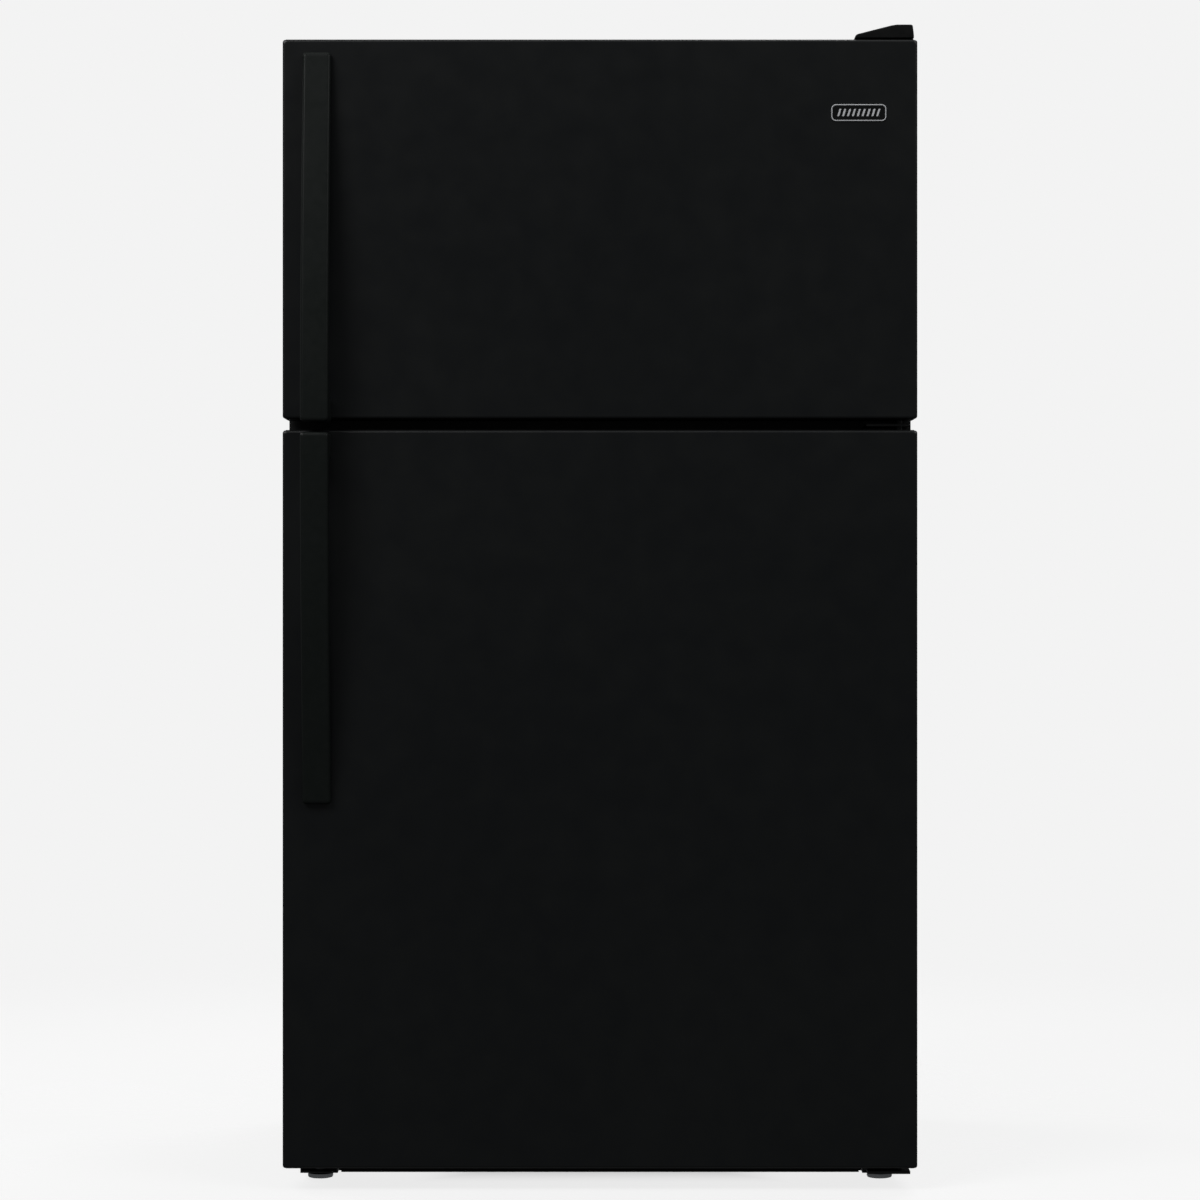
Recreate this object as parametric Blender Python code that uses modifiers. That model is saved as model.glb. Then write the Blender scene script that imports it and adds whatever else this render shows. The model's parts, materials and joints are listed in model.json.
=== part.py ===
"""Top freezer refrigerator, built as the separate pieces it comes apart into.

Metres, +Z up. The front faces -Y. The origin is on the floor under the middle of the whole
object, and every piece is placed at rest, with both doors closed and the drawers pushed in.
"""

import math

import bmesh
import bpy
from mathutils import Matrix, Vector

# Outline of the doors and the cabinet
HALF_DOOR = 0.416
DOOR_FRONT_Y = -0.329
DOOR_BACK_Y = -0.267
HALF_CABINET = 0.413
CABINET_FRONT_Y = -0.255
CABINET_BACK_Y = 0.385
CABINET_LOW_Z = 0.045
CABINET_TOP_Z = 1.511
FRIDGE_DOOR_Z = (0.030, 0.997)
FREEZER_DOOR_Z = (1.0125, 1.509)

# Sheet, walls and the gap that touching pieces keep
GAP = 0.0003
SHEET = 0.0012
WALL = 0.002
FLANGE = 0.045
DOOR_RETURN = 0.014
DOOR_EDGE_RADIUS = 0.0035

# Cavities inside the liners, and the step over the machine compartment
HALF_CAVITY = 0.363
CAVITY_BACK_Y = 0.325
FRIDGE_CAVITY_Z = (0.100, 0.964)
FREEZER_CAVITY_Z = (1.042, 1.456)
STEP_FRONT_Y = 0.140
STEP_TOP_Z = 0.327
LIP_FRONT_Y = CABINET_FRONT_Y + SHEET + GAP
COMPARTMENT_FRONT_Y = 0.185
COMPARTMENT_TOP_Z = 0.281
REAR_SHEET_Y = (0.3835, 0.3847)

# The line both doors hang on
HINGE_X = 0.394
HINGE_Y = -0.298
PIN_RADIUS = 0.004
PIN_HOLE_RADIUS = 0.0044
HINGE_PLATE_X = (0.350, 0.406)
HINGE_PLATE_FRONT_Y = -0.312

# Seals, door liners and the ring-shaped dike that stands into the cavity
GASKET_X = (0.370, 0.392)
GASKET_WIDTH = GASKET_X[1] - GASKET_X[0]
FRIDGE_GASKET_Z = (0.052, 0.988)
FREEZER_GASKET_Z = (1.0215, 1.494)
DOOR_LINER_Y = (DOOR_BACK_Y + GAP, DOOR_BACK_Y + GAP + WALL)
HALF_DIKE = 0.345
DIKE_WIDTH = 0.030
DIKE_BACK_Y = -0.230
FRIDGE_DIKE_Z = (0.115, 0.945)
FREEZER_DIKE_Z = (1.055, 1.443)

# Handles: nearly flush at the outer end, standing out furthest next to the other door
HANDLE_X = (-0.389, -0.352)
HANDLE_LENGTH = 0.485
HANDLE_INNER_END_Z = {"freezer": 1.0065, "fridge": 0.9925}
HANDLE_LOW_PROJECTION = 0.010
HANDLE_RISE = 0.0457
HANDLE_BAR = 0.014
HANDLE_FOOT = 0.030

# Bins, shelves and drawers
BIN_X = 0.3145
BIN_Y = (DOOR_LINER_Y[1] + GAP, -0.152)
SHELF_FRONT_Y = -0.135
SHELF_BACK_Y = 0.290
SHELF_THICKNESS = 0.005
FRIDGE_SHELF_Z = {"fridge_shelf_lower": 0.490, "fridge_shelf_upper": 0.655}
FREEZER_SHELF_Z = 1.240
LEDGE = 0.010
CRISPER_X = (0.008, 0.352)
CRISPER_Y = (-0.135, 0.135)
CRISPER_Z = (0.1015, 0.315)
DAIRY_X = (-BIN_X, -0.020)
DAIRY_Z = (0.725, 0.810)
DAIRY_PIVOT = (-0.252, 0.815)

# Base: rails, rollers and legs
RAIL_X = (0.350, 0.400)
RAIL_Y = (-0.235, 0.380)
RAIL_Z = (0.010, 0.0447)
ROLLER_RADIUS = 0.018
ROLLER_Y = 0.330
LEG_Y = -0.205
LEG_FOOT_RADIUS = 0.017

# Cold air fan and condenser fan
EVAPORATOR_COVER_Y = (0.232, 0.235)
EVAPORATOR_FAN = Vector((0.0, 0.256, 1.385))
CONDENSER_FAN = Vector((-0.042, 0.285, 0.150))
COMPRESSOR = Vector((0.170, 0.285, 0.0))

# Controls
CONTROL_Y = (-0.090, 0.100)
CONTROL_Z = (0.905, 0.9635)
KNOB_X = -0.060
SLIDER_X = 0.060
CONTROL_MIDDLE_Z = 0.935
SWITCH_X = 0.250
SWITCH_Z = 0.930

for old in list(bpy.data.objects):
    bpy.data.objects.remove(old)

PARTS = bpy.data.collections.new("top_freezer_refrigerator")
GUIDES = bpy.data.collections.new("cutters_and_guides")
for collection in (PARTS, GUIDES):
    bpy.context.scene.collection.children.link(collection)


def finish(name, colour, roughness, metallic=0.0):
    """One finish: a Principled BSDF with its colour, roughness and metallic value."""
    material = bpy.data.materials.new(name)
    material.use_nodes = True
    shader = material.node_tree.nodes["Principled BSDF"]
    shader.inputs["Base Color"].default_value = (*colour, 1.0)
    shader.inputs["Roughness"].default_value = roughness
    shader.inputs["Metallic"].default_value = metallic
    material.diffuse_color = (*colour, 1.0)
    return material


BLACK_ENAMEL = finish("black_enamel", (0.010, 0.011, 0.012), 0.28)
BLACK_PLASTIC = finish("black_plastic", (0.012, 0.013, 0.013), 0.35)
COMPRESSOR_BLACK = finish("compressor_black", (0.015, 0.015, 0.016), 0.45)
WHITE_PLASTIC = finish("white_plastic", (0.82, 0.83, 0.82), 0.40)
GREY_PLASTIC = finish("grey_plastic", (0.55, 0.57, 0.58), 0.45)
CLEAR_PLASTIC = finish("clear_plastic", (0.72, 0.78, 0.80), 0.15)
SHELF_GLASS = finish("shelf_glass", (0.70, 0.80, 0.78), 0.05)
GASKET_VINYL = finish("gasket_vinyl", (0.030, 0.030, 0.032), 0.60)
ZINC_STEEL = finish("zinc_steel", (0.55, 0.56, 0.58), 0.35, 1.0)
FOAM = finish("foam", (0.80, 0.66, 0.36), 0.95)
ALUMINIUM = finish("fin_aluminium", (0.75, 0.76, 0.78), 0.35, 1.0)
COPPER = finish("copper_tube", (0.72, 0.38, 0.24), 0.35, 1.0)
BADGE_METAL = finish("badge_metal", (0.70, 0.71, 0.73), 0.20, 1.0)
RUBBER = finish("grommet_rubber", (0.020, 0.020, 0.020), 0.80)


# ---------------------------------------------------------------- shapes

def object_from(mesh):
    """An object for a mesh whose points are already in place."""
    return bpy.data.objects.new("shape", mesh)


def from_bmesh(bm):
    mesh = bpy.data.meshes.new("shape")
    bm.to_mesh(mesh)
    bm.free()
    return object_from(mesh)


def box(low, high):
    """A box between its lowest and highest corners."""
    low = Vector(low)
    high = Vector(high)
    bm = bmesh.new()
    place = Matrix.Translation((low + high) / 2) @ Matrix.Diagonal((*(high - low), 1.0))
    bmesh.ops.create_cube(bm, size=1.0, matrix=place)
    return from_bmesh(bm)


def rod(start, end, radius, sides=24, end_radius=None):
    """A round bar or cone frustum between two points."""
    start = Vector(start)
    run = Vector(end) - start
    turn = Vector((0, 0, 1)).rotation_difference(run).to_matrix().to_4x4()
    place = Matrix.Translation(start + run / 2) @ turn
    bm = bmesh.new()
    bmesh.ops.create_cone(
        bm, cap_ends=True, segments=sides, radius1=radius,
        radius2=radius if end_radius is None else end_radius, depth=run.length, matrix=place,
    )
    piece = from_bmesh(bm)
    smooth(piece)
    return piece


# How an outline's two coordinates and its thickness lie along the world's axes
PRISM_TURN = {
    "X": Matrix(((0, 0, 1), (1, 0, 0), (0, 1, 0))).to_4x4(),
    "Y": Matrix(((1, 0, 0), (0, 0, -1), (0, 1, 0))).to_4x4(),
    "Z": Matrix.Identity(4),
}


def prism(outlines, axis, low, high):
    """A flat outline, with holes, given its thickness along one axis.

    The outline's points are (y, z) along X, (x, z) along Y and (x, y) along Z.
    """
    curve = bpy.data.curves.new("outline", "CURVE")
    curve.dimensions = "2D"
    curve.fill_mode = "BOTH"
    curve.extrude = (high - low) / 2
    for outline in outlines:
        spline = curve.splines.new("POLY")
        spline.points.add(len(outline) - 1)
        for point, (across, up) in zip(spline.points, outline):
            point.co = (across, up, 0.0, 1.0)
        spline.use_cyclic_u = True
    shift = Vector((0, 0, 0))
    shift["XYZ".index(axis)] = (low + high) / 2
    return mesh_of_curve(curve, Matrix.Translation(shift) @ PRISM_TURN[axis])


def pierced(outline, openings, axis, low, high):
    """A plate with openings right through it."""
    margin = 0.002
    return cut(prism([outline], axis, low, high), prism(openings, axis, low - margin, high + margin))


def mesh_of_curve(curve, place):
    """A curve made a closed mesh, with its caps welded on."""
    guide = bpy.data.objects.new("outline", curve)
    GUIDES.objects.link(guide)
    depsgraph = bpy.context.evaluated_depsgraph_get()
    mesh = bpy.data.meshes.new_from_object(guide.evaluated_get(depsgraph))
    bpy.data.objects.remove(guide)
    mesh.transform(place)
    bm = bmesh.new()
    bm.from_mesh(mesh)
    bmesh.ops.remove_doubles(bm, verts=bm.verts, dist=0.000001)
    bmesh.ops.recalc_face_normals(bm, faces=bm.faces)
    bm.to_mesh(mesh)
    bm.free()
    return object_from(mesh)


def turned(profile, centre, steps=32):
    """A turned shape about a vertical line, from (radius, height) points, top to bottom."""
    mesh = bpy.data.meshes.new("profile")
    points = [(radius, 0.0, height) for radius, height in profile]
    mesh.from_pydata(points, [(i, i + 1) for i in range(len(points) - 1)], [])
    piece = object_from(mesh)
    piece.location = centre
    screw = piece.modifiers.new("turned", "SCREW")
    screw.steps = steps
    screw.render_steps = steps
    screw.use_merge_vertices = True
    screw.merge_threshold = 0.00001
    screw.use_smooth_shade = True
    return piece


def tube(points, radius):
    """A round tube along a path, with closed ends."""
    curve = bpy.data.curves.new("tube", "CURVE")
    curve.dimensions = "3D"
    curve.bevel_depth = radius
    curve.bevel_resolution = 2
    curve.use_fill_caps = True
    spline = curve.splines.new("POLY")
    spline.points.add(len(points) - 1)
    for point, place in zip(spline.points, points):
        point.co = (*place, 1.0)
    return bpy.data.objects.new("tube", curve)


def rectangle(x0, z0, x1, z1):
    return [(x0, z0), (x1, z0), (x1, z1), (x0, z1)]


def rounded(x0, z0, x1, z1, radius, steps=4):
    """A rectangle with round corners."""
    corners = ((x1, z1, 0), (x0, z1, 1), (x0, z0, 2), (x1, z0, 3))
    points = []
    for x, z, quarter in corners:
        centre_x = x - radius if x == x1 else x + radius
        centre_z = z - radius if z == z1 else z + radius
        for step in range(steps + 1):
            angle = (quarter + step / steps) * math.pi / 2
            points.append((centre_x + radius * math.cos(angle), centre_z + radius * math.sin(angle)))
    return points


def circle(x, z, radius, sides=32):
    turns = [2 * math.pi * i / sides for i in range(sides)]
    return [(x + radius * math.cos(a), z + radius * math.sin(a)) for a in turns]


def rounded_path(corners, radius, steps=4):
    """A path through corner points, with each corner rounded by a quadratic bend."""
    corners = [Vector(corner) for corner in corners]
    path = [corners[0]]
    for before, corner, after in zip(corners, corners[1:], corners[2:]):
        start = corner + (before - corner).normalized() * radius
        end = corner + (after - corner).normalized() * radius
        for step in range(steps + 1):
            t = step / steps
            path.append(start * (1 - t) ** 2 + corner * 2 * t * (1 - t) + end * t ** 2)
    return path + [corners[-1]]


# ---------------------------------------------------------------- tools on shapes

def smooth(piece, angle=35):
    piece.data.shade_smooth()
    piece.data.set_sharp_from_angle(angle=math.radians(angle))


def round_edges(piece, width, segments=2, angle=50):
    """Round every edge sharper than the angle."""
    bevel = piece.modifiers.new("rounded", "BEVEL")
    bevel.width = width
    bevel.segments = segments
    bevel.limit_method = "ANGLE"
    bevel.angle_limit = math.radians(angle)
    return piece


def thicken(piece, thickness):
    """Give an open sheet its thickness, inwards from its faces."""
    wall = piece.modifiers.new("sheet", "SOLIDIFY")
    wall.thickness = thickness
    wall.offset = -1.0
    wall.use_even_offset = True


def combine(piece, tools, operation):
    for tool in tools:
        tool.hide_render = True
        tool.display_type = "WIRE"
        GUIDES.objects.link(tool)
        step = piece.modifiers.new(operation.lower(), "BOOLEAN")
        step.operation = operation
        step.solver = "EXACT"
        step.object = tool
    return piece


def cut(piece, *tools):
    return combine(piece, tools, "DIFFERENCE")


def fuse(piece, *tools):
    return combine(piece, tools, "UNION")


def move_points(piece, matrix):
    piece.data.transform(matrix)
    return piece


def add(name, material, piece, origin=None, parent=None):
    """Name a finished piece, give it its material, and put its origin on its joint's axis."""
    piece.name = name
    piece.data.name = name
    piece.data.materials.append(material)
    PARTS.objects.link(piece)
    if origin is not None:
        shift = Vector(origin) - piece.location
        piece.data.transform(Matrix.Translation(-shift))
        piece.location = origin
    if parent is not None:
        piece.parent = parent
        piece.location = piece.location - parent.location
    return piece


def pivot(name, place):
    """An empty on a joint's axis, which the pieces that move together hang from."""
    empty = bpy.data.objects.new(name, None)
    empty.location = place
    empty.empty_display_size = 0.05
    GUIDES.objects.link(empty)
    return empty


def sheet_shell(low, high, open_side, rim, missing):
    """A box of sheet faces: one side keeps only a rim, and the missing sides are left out."""
    piece = box(low, high)
    bm = bmesh.new()
    bm.from_mesh(piece.data)
    bm.faces.ensure_lookup_table()
    facing = {side: max(bm.faces, key=lambda f: f.normal.dot(Vector(side))) for side in missing}
    opening = max(bm.faces, key=lambda f: f.normal.dot(Vector(open_side)))
    bmesh.ops.inset_region(bm, faces=[opening], thickness=rim)
    bmesh.ops.delete(bm, geom=[opening, *facing.values()], context="FACES")
    bm.to_mesh(piece.data)
    bm.free()
    return piece


def tray(low, high, wall, floor):
    """A box that is open at the top."""
    low = Vector(low)
    high = Vector(high)
    inside_low = low + Vector((wall, wall, floor))
    inside_high = high + Vector((-wall, -wall, floor))
    return cut(box(low, high), box(inside_low, inside_high))


# ---------------------------------------------------------------- cabinet

def make_outer_wrapper():
    shell = sheet_shell(
        (-HALF_CABINET, CABINET_FRONT_Y, CABINET_LOW_Z),
        (HALF_CABINET, CABINET_BACK_Y, CABINET_TOP_Z),
        (0, -1, 0), FLANGE, [(0, 0, -1), (0, 1, 0)],
    )
    thicken(shell, SHEET)
    add("outer_wrapper", BLACK_ENAMEL, shell)


def make_rear_panel():
    half = HALF_CABINET - SHEET - GAP
    low = (-half, REAR_SHEET_Y[0], COMPARTMENT_TOP_Z + GAP)
    add("rear_panel", ZINC_STEEL, box(low, (half, REAR_SHEET_Y[1], CABINET_TOP_Z - SHEET - GAP)))


def make_base_deck():
    """The sheet floor that steps up over the machine compartment."""
    low = CABINET_LOW_Z
    front = CABINET_FRONT_Y + SHEET + GAP
    back = REAR_SHEET_Y[0] - GAP
    step = COMPARTMENT_FRONT_Y
    top = COMPARTMENT_TOP_Z
    outline = [
        (front, low), (step + SHEET, low), (step + SHEET, top - SHEET), (back, top - SHEET),
        (back, top), (step, top), (step, low + SHEET), (front, low + SHEET),
    ]
    half = HALF_CABINET - SHEET - GAP
    add("base_deck", ZINC_STEEL, prism([outline], "X", -half, half))


def liner_outline(cavity_z, stepped, grow):
    """The side view of a cavity, grown by a wall, from the lip at the front to the back wall."""
    low = cavity_z[0] - grow
    high = cavity_z[1] + grow
    front = LIP_FRONT_Y
    back = CAVITY_BACK_Y + grow
    if not stepped:
        return rectangle(front, low, back, high)
    step = STEP_FRONT_Y + grow
    shelf = STEP_TOP_Z - grow
    return [(front, low), (step, low), (step, shelf), (back, shelf), (back, high), (front, high)]


def make_foam_insulation():
    """Foam between the sheet wrapper and both liners, over the stepped deck."""
    front = LIP_FRONT_Y + WALL + GAP
    back = REAR_SHEET_Y[0] - GAP
    step = COMPARTMENT_FRONT_Y - GAP
    floor = CABINET_LOW_Z + SHEET + GAP
    top = CABINET_TOP_Z - SHEET - GAP
    outline = [
        (front, floor), (step, floor), (step, COMPARTMENT_TOP_Z + GAP),
        (back, COMPARTMENT_TOP_Z + GAP), (back, top), (front, top),
    ]
    half = HALF_CABINET - SHEET - GAP
    clear = WALL + GAP
    foam = prism([outline], "X", -half, half)
    for cavity_z, stepped in ((FRIDGE_CAVITY_Z, True), (FREEZER_CAVITY_Z, False)):
        hollow = liner_outline(cavity_z, stepped, clear)
        hollow = [(y - 0.05 if y == LIP_FRONT_Y else y, z) for y, z in hollow]
        cut(foam, prism([hollow], "X", -HALF_CAVITY - clear, HALF_CAVITY + clear))
    add("foam_insulation", FOAM, foam)


def liner(cavity_z, stepped, lip_z):
    """A moulded liner: one wall thick all round, open at the front, with a lip behind the flange."""
    shell = prism([liner_outline(cavity_z, stepped, WALL)], "X", -HALF_CAVITY - WALL, HALF_CAVITY + WALL)
    lip = box((-0.385, LIP_FRONT_Y, lip_z[0]), (0.385, LIP_FRONT_Y + WALL, lip_z[1]))
    hollow = liner_outline(cavity_z, stepped, 0.0)
    hollow = [(y - 0.05 if y == LIP_FRONT_Y else y, z) for y, z in hollow]
    fuse(shell, lip)
    return cut(shell, prism([hollow], "X", -HALF_CAVITY, HALF_CAVITY))


def wall_ledges(shelf_z, front, back):
    """A pair of moulded ledges that a shelf rests on."""
    low_z = shelf_z - GAP - LEDGE
    reach = HALF_CAVITY + WALL / 2
    inner = HALF_CAVITY - LEDGE
    left = box((-reach, front, low_z), (-inner, back, shelf_z - GAP))
    right = box((inner, front, low_z), (reach, back, shelf_z - GAP))
    return left, right


def make_freezer_liner():
    shell = liner(FREEZER_CAVITY_Z, False, (1.012, 1.480))
    fuse(shell, *wall_ledges(FREEZER_SHELF_Z, -0.130, 0.200))
    add("freezer_liner", WHITE_PLASTIC, shell)


def make_fridge_liner():
    shell = liner(FRIDGE_CAVITY_Z, True, (0.080, 0.990))
    for shelf_z in FRIDGE_SHELF_Z.values():
        fuse(shell, *wall_ledges(shelf_z, SHELF_FRONT_Y, SHELF_BACK_Y))
    boss_half = 0.015
    boss = box(
        (SWITCH_X - boss_half, -0.215, SWITCH_Z - boss_half),
        (SWITCH_X + boss_half, -0.150, FRIDGE_CAVITY_Z[1] + WALL / 2),
    )
    bore = 0.005
    fuse(shell, boss)
    cut(shell, box((SWITCH_X - bore, -0.220, SWITCH_Z - bore), (SWITCH_X + bore, -0.160, SWITCH_Z + bore)))
    add("fridge_liner", WHITE_PLASTIC, shell)


def make_mullion_rail():
    """The steel strip between the two openings, with a stiffening rib behind it."""
    half = HALF_CABINET - FLANGE - GAP
    back = CABINET_FRONT_Y + SHEET
    rail = box((-half, CABINET_FRONT_Y, 0.970), (half, back, 1.036))
    rib_back = LIP_FRONT_Y + WALL
    fuse(rail, box((-half + 0.02, back - SHEET / 2, 0.994), (half - 0.02, rib_back, 1.008)))
    add("mullion_rail", BLACK_ENAMEL, rail)


# ---------------------------------------------------------------- base

def make_base_frame():
    """Two upturned channel rails, tied by a front bar and by the tray that carries the compressor."""
    wall = 0.002
    low, high = RAIL_Z
    frame = box((-0.399, 0.200, high - wall), (0.399, RAIL_Y[1], high))
    fuse(frame, box((-0.399, RAIL_Y[0], high - wall), (0.399, -0.180, high)))
    for side in (-1, 1):
        near, far = sorted((side * RAIL_X[0], side * RAIL_X[1]))
        channel = [
            (near, low), (far, low), (far, high), (far - wall, high),
            (far - wall, low + wall), (near + wall, low + wall), (near + wall, high), (near, high),
        ]
        fuse(frame, prism([channel], "Y", *RAIL_Y))
        middle = side * (RAIL_X[0] + RAIL_X[1]) / 2
        cut(
            frame,
            rod((middle, LEG_Y, 0.0), (middle, LEG_Y, 0.060), 0.0056, 20),
            box((middle - 0.0095, ROLLER_Y - 0.019, 0.0), (middle + 0.0095, ROLLER_Y + 0.019, 0.020)),
            rod((near - 0.01, ROLLER_Y, ROLLER_RADIUS), (far + 0.01, ROLLER_Y, ROLLER_RADIUS), 0.0034, 16),
        )
    add("base_frame", ZINC_STEEL, frame)


def make_rollers_and_legs():
    for side, name in ((-1, "left"), (1, "right")):
        x = side * (RAIL_X[0] + RAIL_X[1]) / 2
        centre = Vector((x, ROLLER_Y, ROLLER_RADIUS))
        half_tread = Vector((0.008, 0, 0))
        half_axle = Vector((0.028, 0, 0))
        wheel = rod(centre - half_tread, centre + half_tread, ROLLER_RADIUS, 40)
        fuse(wheel, rod(centre - half_axle, centre + half_axle, 0.003, 16))
        add(f"rear_roller_{name}", GREY_PLASTIC, wheel, centre)
        foot = rod((x, LEG_Y, 0.0), (x, LEG_Y, 0.0085), LEG_FOOT_RADIUS, 32)
        fuse(foot, rod((x, LEG_Y, 0.004), (x, LEG_Y, 0.0445), 0.005, 20))
        add(f"leveling_leg_{name}", ZINC_STEEL, foot, (x, LEG_Y, 0.0))


def make_toe_grille():
    """A narrow grille across the base, with a row of upright slots."""
    half = 0.345
    low, high = 0.012, 0.0445
    slots = 22
    pitch = 2 * half / (slots + 1)
    openings = []
    for i in range(slots):
        x = -half + pitch * (i + 1)
        openings.append(rectangle(x - pitch * 0.3, low + 0.008, x + pitch * 0.3, high - 0.008))
    grille = pierced(rectangle(-half, low, half, high), openings, "Y", -0.2400, -0.2365)
    add("toe_grille", BLACK_PLASTIC, grille)


# ---------------------------------------------------------------- machine compartment

def make_compressor():
    """The welded shell on its foot plate, with four feet and a terminal box."""
    profile = [
        (0.0, 0.235), (0.030, 0.233), (0.055, 0.222), (0.070, 0.202), (0.075, 0.175),
        (0.075, 0.150), (0.078, 0.148), (0.078, 0.142), (0.075, 0.140), (0.075, 0.105),
        (0.068, 0.082), (0.050, 0.068), (0.0, 0.064),
    ]
    shell = turned(profile, COMPRESSOR, 24)
    plate_z = (0.058, 0.068)
    x, y, _ = COMPRESSOR
    fuse(shell, box((x - 0.085, y - 0.055, plate_z[0]), (x + 0.085, y + 0.055, plate_z[1] - 0.003)))
    fuse(shell, box((x + 0.060, y - 0.024, 0.110), (x + 0.098, y + 0.024, 0.185)))
    for dx in (-0.073, 0.073):
        for dy in (-0.043, 0.043):
            foot = (x + dx, y + dy)
            fuse(shell, rod((*foot, RAIL_Z[1] + GAP), (*foot, 0.062), 0.009, 12))
    add("compressor", COMPRESSOR_BLACK, shell)


def make_suction_line():
    """The copper line from the compressor's shell up to the insulated deck."""
    x, y, _ = COMPRESSOR
    start = (x - 0.0785, y, 0.165)
    corners = [start, (x - 0.110, y, 0.165), (x - 0.110, y, 0.205), (x - 0.110, 0.215, 0.205),
               (x - 0.110, 0.215, COMPARTMENT_TOP_Z - SHEET - GAP)]
    add("suction_line", COPPER, tube(rounded_path(corners, 0.015), 0.004))


def make_condenser_coil():
    """One long tube folded into layers of straight runs beside the fan."""
    ends = (-0.355, -0.085)
    levels = [0.080 + 0.040 * i for i in range(4)]
    depths = [0.230 + 0.045 * i for i in range(3)]
    corners = []
    side = 0
    for layer, depth in enumerate(depths):
        order = levels if layer % 2 == 0 else levels[::-1]
        for level in order:
            corners.append((ends[side], depth, level))
            side = 1 - side
            corners.append((ends[side], depth, level))
    add("condenser_coil", BLACK_PLASTIC, tube(rounded_path(corners, 0.0175, 2), 0.003))


def fan(centre, axis, radius, hub_radius, depth, blades, pitch):
    """A hub with pitched blades about an axis, bored for the motor's shaft on its far side."""
    turn = Vector((0, 0, 1)).rotation_difference(Vector(axis)).to_matrix().to_4x4()
    place = Matrix.Translation(centre) @ turn
    hub = move_points(rod((0, 0, -depth / 2), (0, 0, depth / 2), hub_radius, 24), place)
    sweep = math.radians(26)
    for i in range(blades):
        turns = [sweep * step / 2 for step in range(-2, 3)]
        outer = [(radius * math.cos(a), radius * math.sin(a)) for a in turns]
        inner = [(hub_radius * 0.8, hub_radius * 0.35), (hub_radius * 0.8, -hub_radius * 0.35)]
        blade = prism([outer + inner], "Z", -0.0008, 0.0008)
        tilt = Matrix.Rotation(pitch, 4, "X")
        around = Matrix.Rotation(2 * math.pi * i / blades, 4, "Z")
        fuse(hub, move_points(blade, place @ around @ tilt))
    bore = rod((0, 0, -depth * 0.25), (0, 0, depth), 0.0024, 12)
    return cut(hub, move_points(bore, place))


def make_condenser_fan():
    """The fan, and the shroud whose collar and cross strut hold its motor."""
    x, y, z = CONDENSER_FAN
    blades = fan(CONDENSER_FAN, (1, 0, 0), 0.068, 0.018, 0.016, 5, math.radians(-24))
    add("condenser_fan", GREY_PLASTIC, blades, CONDENSER_FAN)
    opening = circle(y, z, 0.0735, 40)
    plate = rectangle(0.200, 0.050, 0.372, 0.262)
    shroud = pierced(plate, [opening], "X", x - 0.006, x - 0.003)
    collar = prism([circle(y, z, 0.077, 40), opening], "X", x - 0.004, x + 0.032)
    strut = box((x + 0.024, y - 0.075, z - 0.007), (x + 0.030, y + 0.075, z + 0.007))
    motor = rod((x + 0.016, y, z), (x + 0.058, y, z), 0.021, 24)
    shaft = rod((x - 0.003, y, z), (x + 0.020, y, z), 0.002, 12)
    fuse(shroud, collar, strut, motor, shaft)
    add("condenser_fan_shroud", GREY_PLASTIC, shroud)


def make_drain_pan():
    low_z = RAIL_Z[1] + GAP
    add("drain_pan", BLACK_PLASTIC, tray((-0.375, 0.205, low_z), (-0.065, 0.372, 0.066), 0.0015, 0.0015))


def make_rear_access_cover():
    """The sheet that closes the machine compartment, with louvre slots and the cord's hole."""
    half = HALF_CABINET - SHEET - GAP
    low, high = 0.049, COMPARTMENT_TOP_Z - SHEET - GAP
    openings = [circle(0.0, 0.200, 0.0093, 24)]
    for row in range(5):
        for x0 in (-0.330, 0.080):
            z0 = 0.085 + 0.030 * row
            openings.append(rounded(x0, z0, x0 + 0.250, z0 + 0.008, 0.0035, 2))
    cover = pierced(rectangle(-half, low, half, high), openings, "Y", *REAR_SHEET_Y)
    add("rear_access_cover", ZINC_STEEL, cover)


def make_cord_gland():
    """The rubber gland in the rear cover, with the hole the mains cord would pass."""
    gland = prism([circle(0, 0.200, 0.009, 24), circle(0, 0.200, 0.004, 16)], "Y", 0.376, CABINET_BACK_Y)
    flange = prism([circle(0, 0.200, 0.013, 24), circle(0, 0.200, 0.004, 16)], "Y", 0.379, 0.3830)
    add("cord_gland", RUBBER, fuse(gland, flange))


# ---------------------------------------------------------------- freezer compartment

def make_evaporator_cover():
    """The moulded wall that hides the evaporator, with the fan's opening and return slots."""
    half = HALF_CAVITY - 0.0015
    low = FREEZER_CAVITY_Z[0] + 0.001
    high = FREEZER_CAVITY_Z[1] - 0.001
    openings = [circle(EVAPORATOR_FAN.x, EVAPORATOR_FAN.z, 0.046, 40)]
    for i in range(12):
        x = -0.286 + 0.052 * i
        openings.append(rounded(x - 0.018, low + 0.012, x + 0.018, low + 0.020, 0.0035, 2))
    cover = pierced(rectangle(-half, low, half, high), openings, "Y", *EVAPORATOR_COVER_Y)
    add("evaporator_cover", WHITE_PLASTIC, cover)


def make_evaporator_coil():
    """A comb of upright fins hanging from the tube block along the top."""
    fins = 24
    left, right = -0.280, 0.280
    low, spine, high = 1.060, 1.262, 1.285
    pitch = (right - left) / (fins - 0.5)
    outline = [(left, high), (right, high)]
    for i in range(fins):
        x = right - pitch * i
        outline += [(x, low), (x - pitch / 2, low)]
        if i < fins - 1:
            outline += [(x - pitch / 2, spine), (x - pitch, spine)]
    outline[-1] = (left, low)
    add("evaporator_coil", ALUMINIUM, prism([outline], "Y", 0.258, 0.312))


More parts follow.
